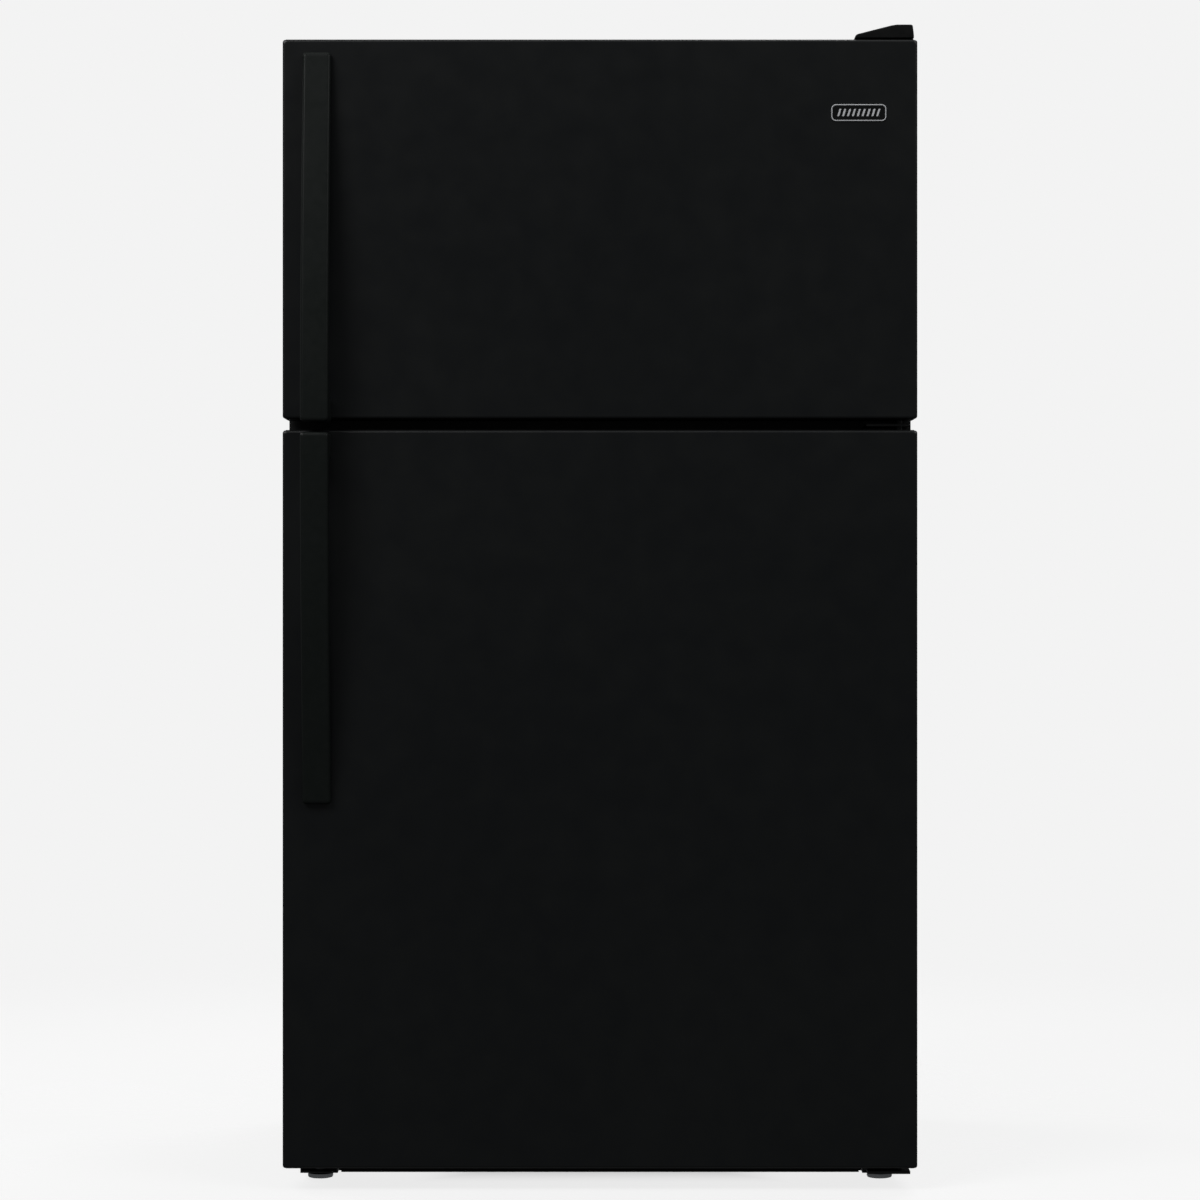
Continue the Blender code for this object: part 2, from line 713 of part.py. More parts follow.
def make_evaporator_fan():
    x, y, z = EVAPORATOR_FAN
    blades = fan(EVAPORATOR_FAN, (0, 1, 0), 0.042, 0.014, 0.014, 4, math.radians(24))
    add("evaporator_fan", GREY_PLASTIC, blades, EVAPORATOR_FAN)
    back = y + 0.026
    motor = rod((x, y + 0.012, z), (x, y + 0.046, z), 0.020, 24)
    shaft = rod((x, y, z), (x, y + 0.014, z), 0.002, 12)
    strap = box((x - 0.062, back, z - 0.010), (x + 0.062, back + 0.003, z + 0.010))
    legs = [
        box((x + side * 0.0595 - 0.0025, EVAPORATOR_COVER_Y[1] + GAP, z - 0.010),
            (x + side * 0.0595 + 0.0025, back + 0.002, z + 0.010))
        for side in (-1, 1)
    ]
    add("evaporator_fan_motor", GREY_PLASTIC, fuse(motor, shaft, strap, *legs))


def make_freezer_shelf():
    """A slotted full-width shelf with a rolled front edge."""
    half = HALF_CAVITY - 0.0025
    front, back = -0.140, 0.200
    bars = 26
    pitch = (2 * half - 0.020) / bars
    openings = []
    for i in range(bars):
        x = -half + 0.010 + pitch * (i + 0.5)
        openings.append(rectangle(x - pitch * 0.36, front + 0.018, x + pitch * 0.36, back - 0.014))
    top = FREEZER_SHELF_Z + SHELF_THICKNESS
    shelf = pierced(rectangle(-half, front, half, back), openings, "Z", FREEZER_SHELF_Z, top)
    edge = 0.004
    roll_z = (FREEZER_SHELF_Z - 0.008, top + 0.003)
    roll = box((-half + edge, front - edge, roll_z[0]), (half - edge, front + edge, roll_z[1]))
    fuse(shelf, roll)
    add("freezer_shelf", WHITE_PLASTIC, shelf)


def make_ice_bin():
    """An open bin for ice, standing on the freezer shelf."""
    low = (-0.345, -0.110, FREEZER_SHELF_Z + SHELF_THICKNESS + GAP)
    high = (-0.205, 0.165, low[2] + 0.105)
    add("ice_bin", WHITE_PLASTIC, tray(low, high, 0.0025, 0.0025))


# ---------------------------------------------------------------- fresh food compartment

def make_fridge_shelves():
    """Glass shelves in a frame that is deeper at the front edge."""
    half = HALF_CAVITY - 0.0025
    for name, z in FRIDGE_SHELF_Z.items():
        shelf = box((-half, SHELF_FRONT_Y, z), (half, SHELF_BACK_Y, z + SHELF_THICKNESS))
        inner = half - 0.012
        trim = box((-inner, SHELF_FRONT_Y - 0.004, z - 0.009), (inner, SHELF_FRONT_Y + 0.012, z + 0.008))
        back = box((-inner, SHELF_BACK_Y - 0.012, z + 0.002), (inner, SHELF_BACK_Y, z + 0.012))
        add(name, SHELF_GLASS, fuse(shelf, trim, back))


def make_crisper_cover():
    """The glass cover over both drawers, with the divider that carries its front."""
    half = HALF_CAVITY - 0.0025
    low = STEP_TOP_Z + 0.005
    cover = box((-half, SHELF_FRONT_Y, low), (half, 0.310, low + 0.006))
    trim = box((-half, SHELF_FRONT_Y - 0.004, low - 0.006), (half, SHELF_FRONT_Y + 0.010, low + 0.009))
    divider_low = (-0.004, SHELF_FRONT_Y + 0.002, FRIDGE_CAVITY_Z[0] + GAP)
    divider = box(divider_low, (0.004, CRISPER_Y[1], low + 0.003))
    foot = box((-half, 0.290, STEP_TOP_Z + GAP), (half, 0.305, low + 0.003))
    add("crisper_cover", SHELF_GLASS, fuse(cover, trim, divider, foot))


def make_crispers():
    """Two drawers that slide out on the compartment's floor, each with a pull ledge."""
    for side, name in ((-1, "crisper_left"), (1, "crisper_right")):
        near, far = sorted((side * CRISPER_X[0], side * CRISPER_X[1]))
        front, back = CRISPER_Y
        middle = (near + far) / 2
        drawer = tray((near, front + 0.012, CRISPER_Z[0]), (far, back, CRISPER_Z[1]), 0.0025, 0.0025)
        pull = box((middle - 0.080, front, 0.262), (middle + 0.080, front + 0.0135, 0.278))
        rim = box((near, front + 0.008, 0.292), (far, front + 0.0135, CRISPER_Z[1]))
        add(name, CLEAR_PLASTIC, fuse(drawer, pull, rim), (middle, front, CRISPER_Z[0]))


def make_control_housing():
    """The control box under the ceiling, with the knob's hole and the slider's slot."""
    low = Vector((-0.150, CONTROL_Y[0], CONTROL_Z[0]))
    high = Vector((0.150, CONTROL_Y[1], CONTROL_Z[1]))
    housing = box(low, high)
    front = CONTROL_Y[0]
    cut(
        housing,
        box(low + Vector((WALL, WALL, WALL)), high + Vector((-WALL, -WALL, WALL))),
        rod((KNOB_X, front - 0.01, CONTROL_MIDDLE_Z), (KNOB_X, front + 0.01, CONTROL_MIDDLE_Z), 0.0034, 16),
        box((SLIDER_X - 0.0245, front - 0.01, CONTROL_MIDDLE_Z - 0.002),
            (SLIDER_X + 0.0245, front + 0.01, CONTROL_MIDDLE_Z + 0.002)),
    )
    add("control_housing", WHITE_PLASTIC, housing)


def make_temperature_knob():
    front = CONTROL_Y[0] - 0.0005
    z = CONTROL_MIDDLE_Z
    knob = rod((KNOB_X, front, z), (KNOB_X, front - 0.011, z), 0.022, 40, 0.020)
    shaft = rod((KNOB_X, front - 0.002, z), (KNOB_X, front + 0.009, z), 0.003, 16)
    grip = box((KNOB_X - 0.0035, front - 0.019, z - 0.018), (KNOB_X + 0.0035, front - 0.009, z + 0.018))
    add("temperature_knob", GREY_PLASTIC, fuse(knob, shaft, grip), (KNOB_X, front, z))


def make_freezer_airflow_slider():
    front = CONTROL_Y[0]
    z = CONTROL_MIDDLE_Z
    tab = box((SLIDER_X - 0.008, front - 0.010, z - 0.009), (SLIDER_X + 0.008, front - 0.0005, z + 0.009))
    neck = box((SLIDER_X - 0.004, front - 0.001, z - 0.0015), (SLIDER_X + 0.004, front + 0.004, z + 0.0015))
    behind = front + WALL + 0.0005
    back = box((SLIDER_X - 0.010, behind, z - 0.007), (SLIDER_X + 0.010, front + 0.005, z + 0.007))
    add("freezer_airflow_slider", GREY_PLASTIC, fuse(tab, neck, back), (SLIDER_X, front, z))


def make_lamp_cover():
    """A translucent cup over the lamp, open towards the ceiling."""
    cup = tray((-0.060, 0.106, 0.925), (0.060, 0.190, CONTROL_Z[1]), 0.0015, 0.0015)
    add("lamp_cover", CLEAR_PLASTIC, cup)


def make_light_switch():
    """The spring plunger that the closed door holds in."""
    half = 0.0045
    low = (SWITCH_X - half, DIKE_BACK_Y + 0.0005, SWITCH_Z - half)
    plunger = box(low, (SWITCH_X + half, -0.175, SWITCH_Z + half))
    add("light_switch", WHITE_PLASTIC, plunger, (SWITCH_X, DIKE_BACK_Y + 0.0005, SWITCH_Z))


def make_air_duct_cover():
    """A shallow moulded duct up the back wall, with pairs of outlets."""
    low = Vector((-0.080, 0.300, 0.360))
    high = Vector((0.080, CAVITY_BACK_Y - GAP, 0.930))
    cover = box(low, high)
    cut(cover, box(low + Vector((WALL, WALL, WALL)), high + Vector((-WALL, WALL, -WALL))))
    for z in (0.420, 0.560, 0.720, 0.860):
        for x in (-0.040, 0.040):
            cut(cover, box((x - 0.025, 0.295, z - 0.006), (x + 0.025, 0.305, z + 0.006)))
    add("air_duct_cover", WHITE_PLASTIC, cover)


# ---------------------------------------------------------------- hinges

def hinge_pin(low_z, high_z):
    return rod((HINGE_X, HINGE_Y, low_z), (HINGE_X, HINGE_Y, high_z), PIN_RADIUS, 24)


def make_top_hinge():
    low = CABINET_TOP_Z + GAP
    plate = box((HINGE_PLATE_X[0], HINGE_PLATE_FRONT_Y, low), (HINGE_PLATE_X[1], -0.170, low + 0.004))
    add("top_hinge", ZINC_STEEL, fuse(plate, hinge_pin(FREEZER_DOOR_Z[1] - 0.014, low + 0.002)))


def make_top_hinge_cover():
    """A hollow moulded cap over the top hinge, low on its left and full height on its right."""
    low = CABINET_TOP_Z + GAP
    outer = [(0.335, low), (0.4125, low), (0.4105, 1.5300), (0.3900, 1.5300), (0.335, 1.5175)]
    inner = [(0.337, low - 0.01), (0.4103, low - 0.01), (0.4085, 1.5278), (0.3903, 1.5278), (0.337, 1.5157)]
    cap = prism([outer], "Y", -0.322, -0.150)
    round_edges(cap, 0.0015, 2, 60)
    cut(cap, prism([inner], "Y", -0.320, -0.152))
    add("top_hinge_cover", BLACK_PLASTIC, cap)


def make_centre_hinge():
    """The plate between the doors: a pin up, a pin down, and a flange on the cabinet's front."""
    face = CABINET_FRONT_Y - GAP
    plate_z = (1.0030, 1.0065)
    plate = box((HINGE_PLATE_X[0], HINGE_PLATE_FRONT_Y, plate_z[0]), (0.408, face, plate_z[1]))
    flange = box((HINGE_PLATE_X[0], face - 0.0025, 0.9895), (0.405, face, 1.0200))
    pin = hinge_pin(FRIDGE_DOOR_Z[1] - 0.012, FREEZER_DOOR_Z[0] + 0.0125)
    add("centre_hinge", ZINC_STEEL, fuse(plate, flange, pin))


def make_bottom_hinge():
    plate_z = (0.0200, 0.0240)
    back = RAIL_Y[0] - GAP
    plate = box((0.352, HINGE_PLATE_FRONT_Y, plate_z[0]), (0.408, back, plate_z[1]))
    tab = box((0.352, back - 0.0025, 0.0145), (0.398, back, 0.0440))
    pin = hinge_pin(0.022, FRIDGE_DOOR_Z[0] + 0.0125)
    add("bottom_hinge", ZINC_STEEL, fuse(plate, tab, pin))


# ---------------------------------------------------------------- doors

def ring(half_x, z, width):
    """The two outlines of a rectangular ring, in the door's plane."""
    outer = rectangle(-half_x, z[0], half_x, z[1])
    inner = rectangle(-half_x + width, z[0] + width, half_x - width, z[1] - width)
    return [outer, inner]


def pin_holes(door_z, which):
    """Round holes on the hinge line, through the door's top or bottom, or both."""
    depth = 0.018
    holes = []
    if "top" in which:
        holes.append((door_z[1] - depth, door_z[1] + 0.01))
    if "bottom" in which:
        holes.append((door_z[0] - 0.01, door_z[0] + depth))
    return [rod((HINGE_X, HINGE_Y, a), (HINGE_X, HINGE_Y, b), PIN_HOLE_RADIUS, 24) for a, b in holes]


def make_door(name, door_z, gasket_z, dike_z, hung):
    """A door's skin, foam, liner and seal, all hung from one pivot on the hinge line."""
    skin = sheet_shell(
        (-HALF_DOOR, DOOR_FRONT_Y, door_z[0]), (HALF_DOOR, DOOR_BACK_Y, door_z[1]),
        (0, 1, 0), DOOR_RETURN, [],
    )
    round_edges(skin, DOOR_EDGE_RADIUS, 2)
    thicken(skin, SHEET)
    cut(skin, *pin_holes(door_z, "top bottom"))
    add(f"{name}_panel", BLACK_ENAMEL, skin, parent=hung)

    inset = SHEET + GAP
    core = box(
        (-HALF_DOOR + inset, DOOR_FRONT_Y + inset, door_z[0] + inset),
        (HALF_DOOR - inset, DOOR_BACK_Y - inset, door_z[1] - inset),
    )
    round_edges(core, DOOR_EDGE_RADIUS, 2)
    clear = WALL + GAP
    pad_inset = DOOR_RETURN + GAP
    pad = box(
        (-HALF_DOOR + pad_inset, DOOR_BACK_Y - 0.004, door_z[0] + pad_inset),
        (HALF_DOOR - pad_inset, DOOR_BACK_Y, door_z[1] - pad_inset),
    )
    core_ring = ring(HALF_DIKE - clear, (dike_z[0] + clear, dike_z[1] - clear), DIKE_WIDTH - 2 * clear)
    fuse(core, pad, prism(core_ring, "Y", DOOR_BACK_Y - 0.002, DIKE_BACK_Y - clear))
    cut(core, *pin_holes(door_z, "top bottom"))
    add(f"{name}_foam", FOAM, core, parent=hung)

    edge = DOOR_RETURN - 0.004
    inner = box(
        (-HALF_DOOR + edge, DOOR_LINER_Y[0], door_z[0] + edge),
        (HALF_DOOR - edge, DOOR_LINER_Y[1], door_z[1] - edge),
    )
    fuse(inner, prism(ring(HALF_DIKE, dike_z, DIKE_WIDTH), "Y", DOOR_LINER_Y[0] + WALL / 2, DIKE_BACK_Y))
    channel = ring(HALF_DIKE - WALL, (dike_z[0] + WALL, dike_z[1] - WALL), DIKE_WIDTH - 2 * WALL)
    cut(inner, prism(channel, "Y", DOOR_LINER_Y[0] - 0.01, DIKE_BACK_Y - WALL))
    add(f"{name}_liner", WHITE_PLASTIC, inner, parent=hung)

    seal_y = (DOOR_LINER_Y[1] + GAP, CABINET_FRONT_Y - 2 * GAP)
    seal = prism(ring(GASKET_X[1], gasket_z, GASKET_WIDTH), "Y", *seal_y)
    add(f"{name}_gasket", GASKET_VINYL, seal, parent=hung)


def handle_side_view(inner_end_z, direction):
    """The handle seen from the side: a bowed bar that ends in a foot next to the other door.

    direction is +1 when the handle runs up from its inner end, and -1 when it runs down.
    """
    face = DOOR_FRONT_Y - GAP
    steps = 12

    def projection(t):
        return HANDLE_LOW_PROJECTION + HANDLE_RISE * math.sin(math.pi / 2 * t)

    def point(distance, height):
        return (face - height, inner_end_z + direction * distance)

    front = []
    for step in range(steps + 1):
        distance = HANDLE_LENGTH * step / steps
        front.append(point(distance, projection(1 - distance / HANDLE_LENGTH)))
    gap_end_t = 2 / math.pi * math.asin((HANDLE_BAR + 0.003 - HANDLE_LOW_PROJECTION) / HANDLE_RISE)
    gap_end = HANDLE_LENGTH * (1 - gap_end_t)
    under = []
    for step in range(steps + 1):
        distance = gap_end + (HANDLE_FOOT - gap_end) * step / steps
        under.append(point(distance, projection(1 - distance / HANDLE_LENGTH) - HANDLE_BAR))
    ends = [point(HANDLE_LENGTH, 0.0), point(gap_end + 0.004, 0.0)]
    foot = [point(HANDLE_FOOT, 0.0), point(0.0, 0.0)]
    return front + ends + under + foot


def make_handle(name, inner_end_z, direction, hung):
    bar = prism([handle_side_view(inner_end_z, direction)], "X", *HANDLE_X)
    round_edges(bar, 0.0025, 2, 60)
    add(name, BLACK_PLASTIC, bar, parent=hung)


def make_badge(hung):
    """A plain raised plate near the freezer door's hinge-side top corner."""
    outline = rounded(0.303, 1.402, 0.375, 1.424, 0.006, 4)
    face = DOOR_FRONT_Y - GAP
    add("badge", BADGE_METAL, prism([outline], "Y", face - 0.0016, face), parent=hung)


def make_bin(name, x, z, hung, front_rise=0.0):
    """An open door bin whose front wall may stand higher than its sides."""
    low = (x[0], BIN_Y[0], z[0])
    high = (x[1], BIN_Y[1], z[1])
    piece = tray(low, high, 0.0025, 0.0025)
    if front_rise:
        fuse(piece, box((x[0], BIN_Y[1] - 0.0025, z[1] - 0.002), (x[1], BIN_Y[1], z[1] + front_rise)))
    add(name, CLEAR_PLASTIC, piece, parent=hung)


def make_dairy_compartment(hung):
    """The covered bin for butter and cheese, and the lid that lifts on pegs in its ends."""
    pivot_y, pivot_z = DAIRY_PIVOT
    low = (DAIRY_X[0], BIN_Y[0], DAIRY_Z[0])
    high = (DAIRY_X[1], BIN_Y[1] - 0.010, DAIRY_Z[1])
    holder = tray(low, high, 0.0025, 0.0025)
    cheek_top = pivot_z + 0.008
    for x in (DAIRY_X[0], DAIRY_X[1] - 0.0025):
        fuse(holder, box((x, BIN_Y[0], DAIRY_Z[1] - 0.004), (x + 0.0025, pivot_y + 0.010, cheek_top)))
    hole_ends = [(x, pivot_y, pivot_z) for x in (DAIRY_X[0] - 0.01, DAIRY_X[1] + 0.01)]
    cut(holder, rod(*hole_ends, 0.0024, 16))
    add("dairy_compartment", WHITE_PLASTIC, holder, parent=hung)

    left = DAIRY_X[0] + 0.0030
    right = DAIRY_X[1] - 0.0030
    top = box((left, pivot_y - 0.004, pivot_z - 0.002), (right, BIN_Y[1] - 0.004, pivot_z + 0.0005))
    front = box((left, BIN_Y[1] - 0.0065, 0.742), (right, BIN_Y[1] - 0.004, pivot_z))
    barrel = rod((left, pivot_y, pivot_z), (right, pivot_y, pivot_z), 0.004, 16)
    pegs = rod((DAIRY_X[0] + 0.0004, pivot_y, pivot_z), (DAIRY_X[1] - 0.0004, pivot_y, pivot_z), 0.002, 12)
    lid = fuse(barrel, top, front, pegs)
    middle = (left + right) / 2
    hinge = pivot("dairy_lid_pivot", (middle, pivot_y, pivot_z))
    add("dairy_lid", CLEAR_PLASTIC, lid, parent=hinge)


def make_freezer_door():
    hung = pivot("freezer_door_pivot", (HINGE_X, HINGE_Y, FREEZER_DOOR_Z[0]))
    make_door("freezer_door", FREEZER_DOOR_Z, FREEZER_GASKET_Z, FREEZER_DIKE_Z, hung)
    make_handle("freezer_door_handle", HANDLE_INNER_END_Z["freezer"], 1, hung)
    make_badge(hung)
    make_bin("freezer_door_bin_lower", (-BIN_X, BIN_X), (1.088, 1.165), hung)
    make_bin("freezer_door_bin_upper", (-BIN_X, BIN_X), (1.262, 1.330), hung)


def make_fridge_door():
    hung = pivot("fridge_door_pivot", (HINGE_X, HINGE_Y, FRIDGE_DOOR_Z[0]))
    make_door("fridge_door", FRIDGE_DOOR_Z, FRIDGE_GASKET_Z, FRIDGE_DIKE_Z, hung)
    make_handle("fridge_door_handle", HANDLE_INNER_END_Z["fridge"], -1, hung)
    make_bin("door_bin_lower", (-BIN_X, BIN_X), (0.150, 0.250), hung, 0.020)
    make_bin("door_bin_middle", (-BIN_X, BIN_X), (0.440, 0.530), hung)
    make_bin("door_bin_upper", (-0.015, BIN_X), (0.725, 0.800), hung)
    make_dairy_compartment(hung)


make_outer_wrapper()
make_rear_panel()
make_base_deck()
make_foam_insulation()
make_freezer_liner()
make_fridge_liner()
make_mullion_rail()
make_base_frame()
make_rollers_and_legs()
make_toe_grille()
make_compressor()
make_suction_line()
make_condenser_coil()
make_condenser_fan()
make_drain_pan()
make_rear_access_cover()
make_cord_gland()
make_evaporator_cover()
make_evaporator_coil()
make_evaporator_fan()
make_freezer_shelf()
make_ice_bin()
make_fridge_shelves()
make_crisper_cover()
make_crispers()
make_control_housing()
make_temperature_knob()
make_freezer_airflow_slider()
make_lamp_cover()
make_light_switch()
make_air_duct_cover()
make_top_hinge()
make_top_hinge_cover()
make_centre_hinge()
make_bottom_hinge()
make_freezer_door()
make_fridge_door()
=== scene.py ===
import json
import math

import bmesh
import bpy
from mathutils import Matrix, Vector

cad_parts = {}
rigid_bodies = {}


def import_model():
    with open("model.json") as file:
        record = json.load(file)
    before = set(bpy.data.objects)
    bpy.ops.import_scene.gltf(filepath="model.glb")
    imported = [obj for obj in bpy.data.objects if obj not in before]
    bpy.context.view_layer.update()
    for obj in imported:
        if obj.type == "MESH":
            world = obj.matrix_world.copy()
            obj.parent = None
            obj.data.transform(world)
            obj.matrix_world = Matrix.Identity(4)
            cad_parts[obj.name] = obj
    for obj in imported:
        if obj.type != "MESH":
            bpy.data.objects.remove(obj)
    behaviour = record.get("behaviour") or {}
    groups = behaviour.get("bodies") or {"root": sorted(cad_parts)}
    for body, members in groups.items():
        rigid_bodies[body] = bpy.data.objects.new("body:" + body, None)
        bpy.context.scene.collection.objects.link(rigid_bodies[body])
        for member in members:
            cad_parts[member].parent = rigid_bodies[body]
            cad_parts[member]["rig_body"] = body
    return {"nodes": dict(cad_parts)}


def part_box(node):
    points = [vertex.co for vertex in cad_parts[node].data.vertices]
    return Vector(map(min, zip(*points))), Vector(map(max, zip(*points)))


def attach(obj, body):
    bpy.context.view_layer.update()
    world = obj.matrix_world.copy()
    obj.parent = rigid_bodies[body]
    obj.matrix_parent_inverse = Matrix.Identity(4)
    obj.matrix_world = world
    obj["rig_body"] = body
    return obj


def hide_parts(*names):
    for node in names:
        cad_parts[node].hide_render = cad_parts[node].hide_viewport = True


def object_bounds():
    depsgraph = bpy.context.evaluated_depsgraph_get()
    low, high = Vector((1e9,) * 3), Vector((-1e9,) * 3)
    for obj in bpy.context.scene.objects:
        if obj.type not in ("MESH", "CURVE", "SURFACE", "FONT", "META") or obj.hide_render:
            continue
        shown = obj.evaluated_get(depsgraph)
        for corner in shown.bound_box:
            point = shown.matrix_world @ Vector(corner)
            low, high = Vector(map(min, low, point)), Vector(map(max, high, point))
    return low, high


# A black refrigerator with its freezer on top. Everything is in metres and faces -Y.
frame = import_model()
CAD_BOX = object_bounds()
SCENE = bpy.context.scene


# ---------------------------------------------------------------- node trees

def put(tree, kind, settings=None, **sockets):
    """Add a node. A socket is given by its name, or as at0, at1 and so on by its place."""
    node = tree.nodes.new(kind)
    for key, value in (settings or {}).items():
        setattr(node, key, value)
    for label, value in sockets.items():
        by_place = label.startswith("at") and label[2:].isdigit()
        socket = node.inputs[int(label[2:]) if by_place else label.replace("_", " ")]
        if isinstance(value, bpy.types.NodeSocket):
            tree.links.new(value, socket)
        else:
            socket.default_value = value
    return node


def new_tree(name, family, inputs, outputs):
    """A node group with named inputs and outputs, and its two end nodes."""
    tree = bpy.data.node_groups.new(name, family)
    for label, kind, value in inputs:
        socket = tree.interface.new_socket(label, in_out="INPUT", socket_type="NodeSocket" + kind)
        if value is not None:
            socket.default_value = value
    for label, kind in outputs:
        tree.interface.new_socket(label, in_out="OUTPUT", socket_type="NodeSocket" + kind)
    return tree, tree.nodes.new("NodeGroupInput").outputs, tree.nodes.new("NodeGroupOutput").inputs


# ---------------------------------------------------------------- effects shared by the finishes

def object_point(tree):
    return put(tree, "ShaderNodeTexCoord").outputs["Object"]


def make_uneven_finish():
    """Slow drifts of colour and gloss, as on any surface that has been moulded, painted and wiped."""
    tree, given, made = new_tree("uneven_finish", "ShaderNodeTree", [
        ("Colour", "Color", (0.5, 0.5, 0.5, 1)), ("Shade", "Color", (0.4, 0.4, 0.4, 1)),
        ("Scale", "Float", 4.0), ("Roughness", "Float", 0.4), ("Spread", "Float", 0.1),
    ], [("Colour", "Color"), ("Roughness", "Float")])
    point = object_point(tree)
    wide = put(tree, "ShaderNodeTexNoise", Vector=point, Scale=given["Scale"], Detail=3.0)
    fine_scale = put(tree, "ShaderNodeMath", {"operation": "MULTIPLY"}, at0=given["Scale"], at1=11.0)
    fine = put(tree, "ShaderNodeTexNoise", Vector=point, Scale=fine_scale.outputs[0], Detail=2.0)
    both = put(tree, "ShaderNodeMath", {"operation": "ADD"}, at0=wide.outputs[0], at1=fine.outputs[0])
    mask = put(tree, "ShaderNodeMapRange", Value=both.outputs[0], From_Min=0.75, From_Max=1.25)
    mix = put(tree, "ShaderNodeMix", {"data_type": "RGBA"}, at0=mask.outputs[0], at6=given["Colour"],
              at7=given["Shade"])
    centred = put(tree, "ShaderNodeMath", {"operation": "SUBTRACT"}, at0=mask.outputs[0], at1=0.5)
    gloss = put(tree, "ShaderNodeMath", {"operation": "MULTIPLY_ADD"},
                at0=centred.outputs[0], at1=given["Spread"], at2=given["Roughness"])
    tree.links.new(mix.outputs[2], made["Colour"])
    tree.links.new(gloss.outputs[0], made["Roughness"])
    return tree


def make_surface_grain():
    """Height of a fine skin: rounded pebbles mixed with a soft ripple."""
    tree, given, made = new_tree("surface_grain", "ShaderNodeTree", [
        ("Scale", "Float", 600.0), ("Pebbles", "Float", 0.5), ("Stretch", "Vector", (1, 1, 1)),
    ], [("Height", "Float")])
    placed = put(tree, "ShaderNodeVectorMath", {"operation": "MULTIPLY"}, at0=object_point(tree),
                 at1=given["Stretch"])
    ripple = put(tree, "ShaderNodeTexNoise", Vector=placed.outputs[0], Scale=given["Scale"], Detail=3.0)
    pebble = put(tree, "ShaderNodeTexVoronoi", {"feature": "SMOOTH_F1"}, Vector=placed.outputs[0],
                 Scale=given["Scale"])
    mix = put(tree, "ShaderNodeMix", {"data_type": "FLOAT"}, at0=given["Pebbles"], at2=ripple.outputs[0],
              at3=pebble.outputs[0])
    tree.links.new(mix.outputs[0], made["Height"])
    return tree


def make_settled_dust():
    """A thin veil of dust, only where the surface faces up."""
    tree, given, made = new_tree("settled_dust", "ShaderNodeTree", [
        ("Colour", "Color", (0.5, 0.5, 0.5, 1)), ("Dust", "Color", (0.3, 0.3, 0.28, 1)),
        ("Amount", "Float", 0.1), ("Scale", "Float", 9.0),
    ], [("Colour", "Color")])
    geometry = put(tree, "ShaderNodeNewGeometry")
    facing = put(tree, "ShaderNodeSeparateXYZ", Vector=geometry.outputs["Normal"])
    up = put(tree, "ShaderNodeMapRange", Value=facing.outputs["Z"], From_Min=0.6, From_Max=1.0)
    patches = put(tree, "ShaderNodeTexNoise", Vector=object_point(tree), Scale=given["Scale"], Detail=6.0)
    veil = put(tree, "ShaderNodeMath", {"operation": "MULTIPLY"}, at0=up.outputs[0], at1=patches.outputs[0])
    share = put(tree, "ShaderNodeMath", {"operation": "MULTIPLY"}, at0=veil.outputs[0], at1=given["Amount"])
    mix = put(tree, "ShaderNodeMix", {"data_type": "RGBA"}, at0=share.outputs[0], at6=given["Colour"],
              at7=given["Dust"])
    tree.links.new(mix.outputs[2], made["Colour"])
    return tree


def make_zinc_spangle():
    """The patchwork of crystals on galvanised sheet, as a lighter or darker shade for each."""
    tree, given, made = new_tree("zinc_spangle", "ShaderNodeTree",
                                 [("Colour", "Color", (0.5, 0.5, 0.5, 1)),
                                  ("Shade", "Color", (0.4, 0.4, 0.4, 1)), ("Scale", "Float", 90.0)],
                                 [("Colour", "Color")])
    cells = put(tree, "ShaderNodeTexVoronoi", {"feature": "F1"}, Vector=object_point(tree),
                Scale=given["Scale"])
    shade = put(tree, "ShaderNodeSeparateColor", Color=cells.outputs["Color"])
    mix = put(tree, "ShaderNodeMix", {"data_type": "RGBA"}, at0=shade.outputs[0], at6=given["Colour"],
              at7=given["Shade"])
    tree.links.new(mix.outputs[2], made["Colour"])
    return tree


UNEVEN = make_uneven_finish()
GRAIN = make_surface_grain()
DUST = make_settled_dust()
SPANGLE = make_zinc_spangle()


# ---------------------------------------------------------------- finishes

def finish(name, slot, colour, shade, roughness, spread=0.08, scale=4.0, grain=600.0, depth=0.00002,
           pebbles=0.4, stretch=(1, 1, 1), dust=0.0, spangle=0.0, **plain):
    """One finish: colour and gloss that drift, a fine skin, and plain values on the shader itself."""
    material = bpy.data.materials.new(name)
    material.use_nodes = True
    material["slot"] = slot
    tree = material.node_tree
    shader = tree.nodes["Principled BSDF"]
    for label, value in plain.items():
        shader.inputs[label.replace("_", " ")].default_value = value
    worn = put(tree, "ShaderNodeGroup", {"node_tree": UNEVEN}, Colour=(*colour, 1), Shade=(*shade, 1),
               Scale=scale, Roughness=roughness, Spread=spread)
    out = worn.outputs["Colour"]
    if spangle:
        out = put(tree, "ShaderNodeGroup", {"node_tree": SPANGLE}, Colour=out, Shade=(*shade, 1),
                  Scale=spangle).outputs[0]
    if dust:
        out = put(tree, "ShaderNodeGroup", {"node_tree": DUST}, Colour=out, Amount=dust).outputs[0]
    skin = put(tree, "ShaderNodeGroup", {"node_tree": GRAIN}, Scale=grain, Pebbles=pebbles, Stretch=stretch)
    bump = put(tree, "ShaderNodeBump", Strength=1.0, Distance=depth, Height=skin.outputs[0])
    tree.links.new(out, shader.inputs["Base Color"])
    tree.links.new(worn.outputs["Roughness"], shader.inputs["Roughness"])
    tree.links.new(bump.outputs[0], shader.inputs["Normal"])
    return material


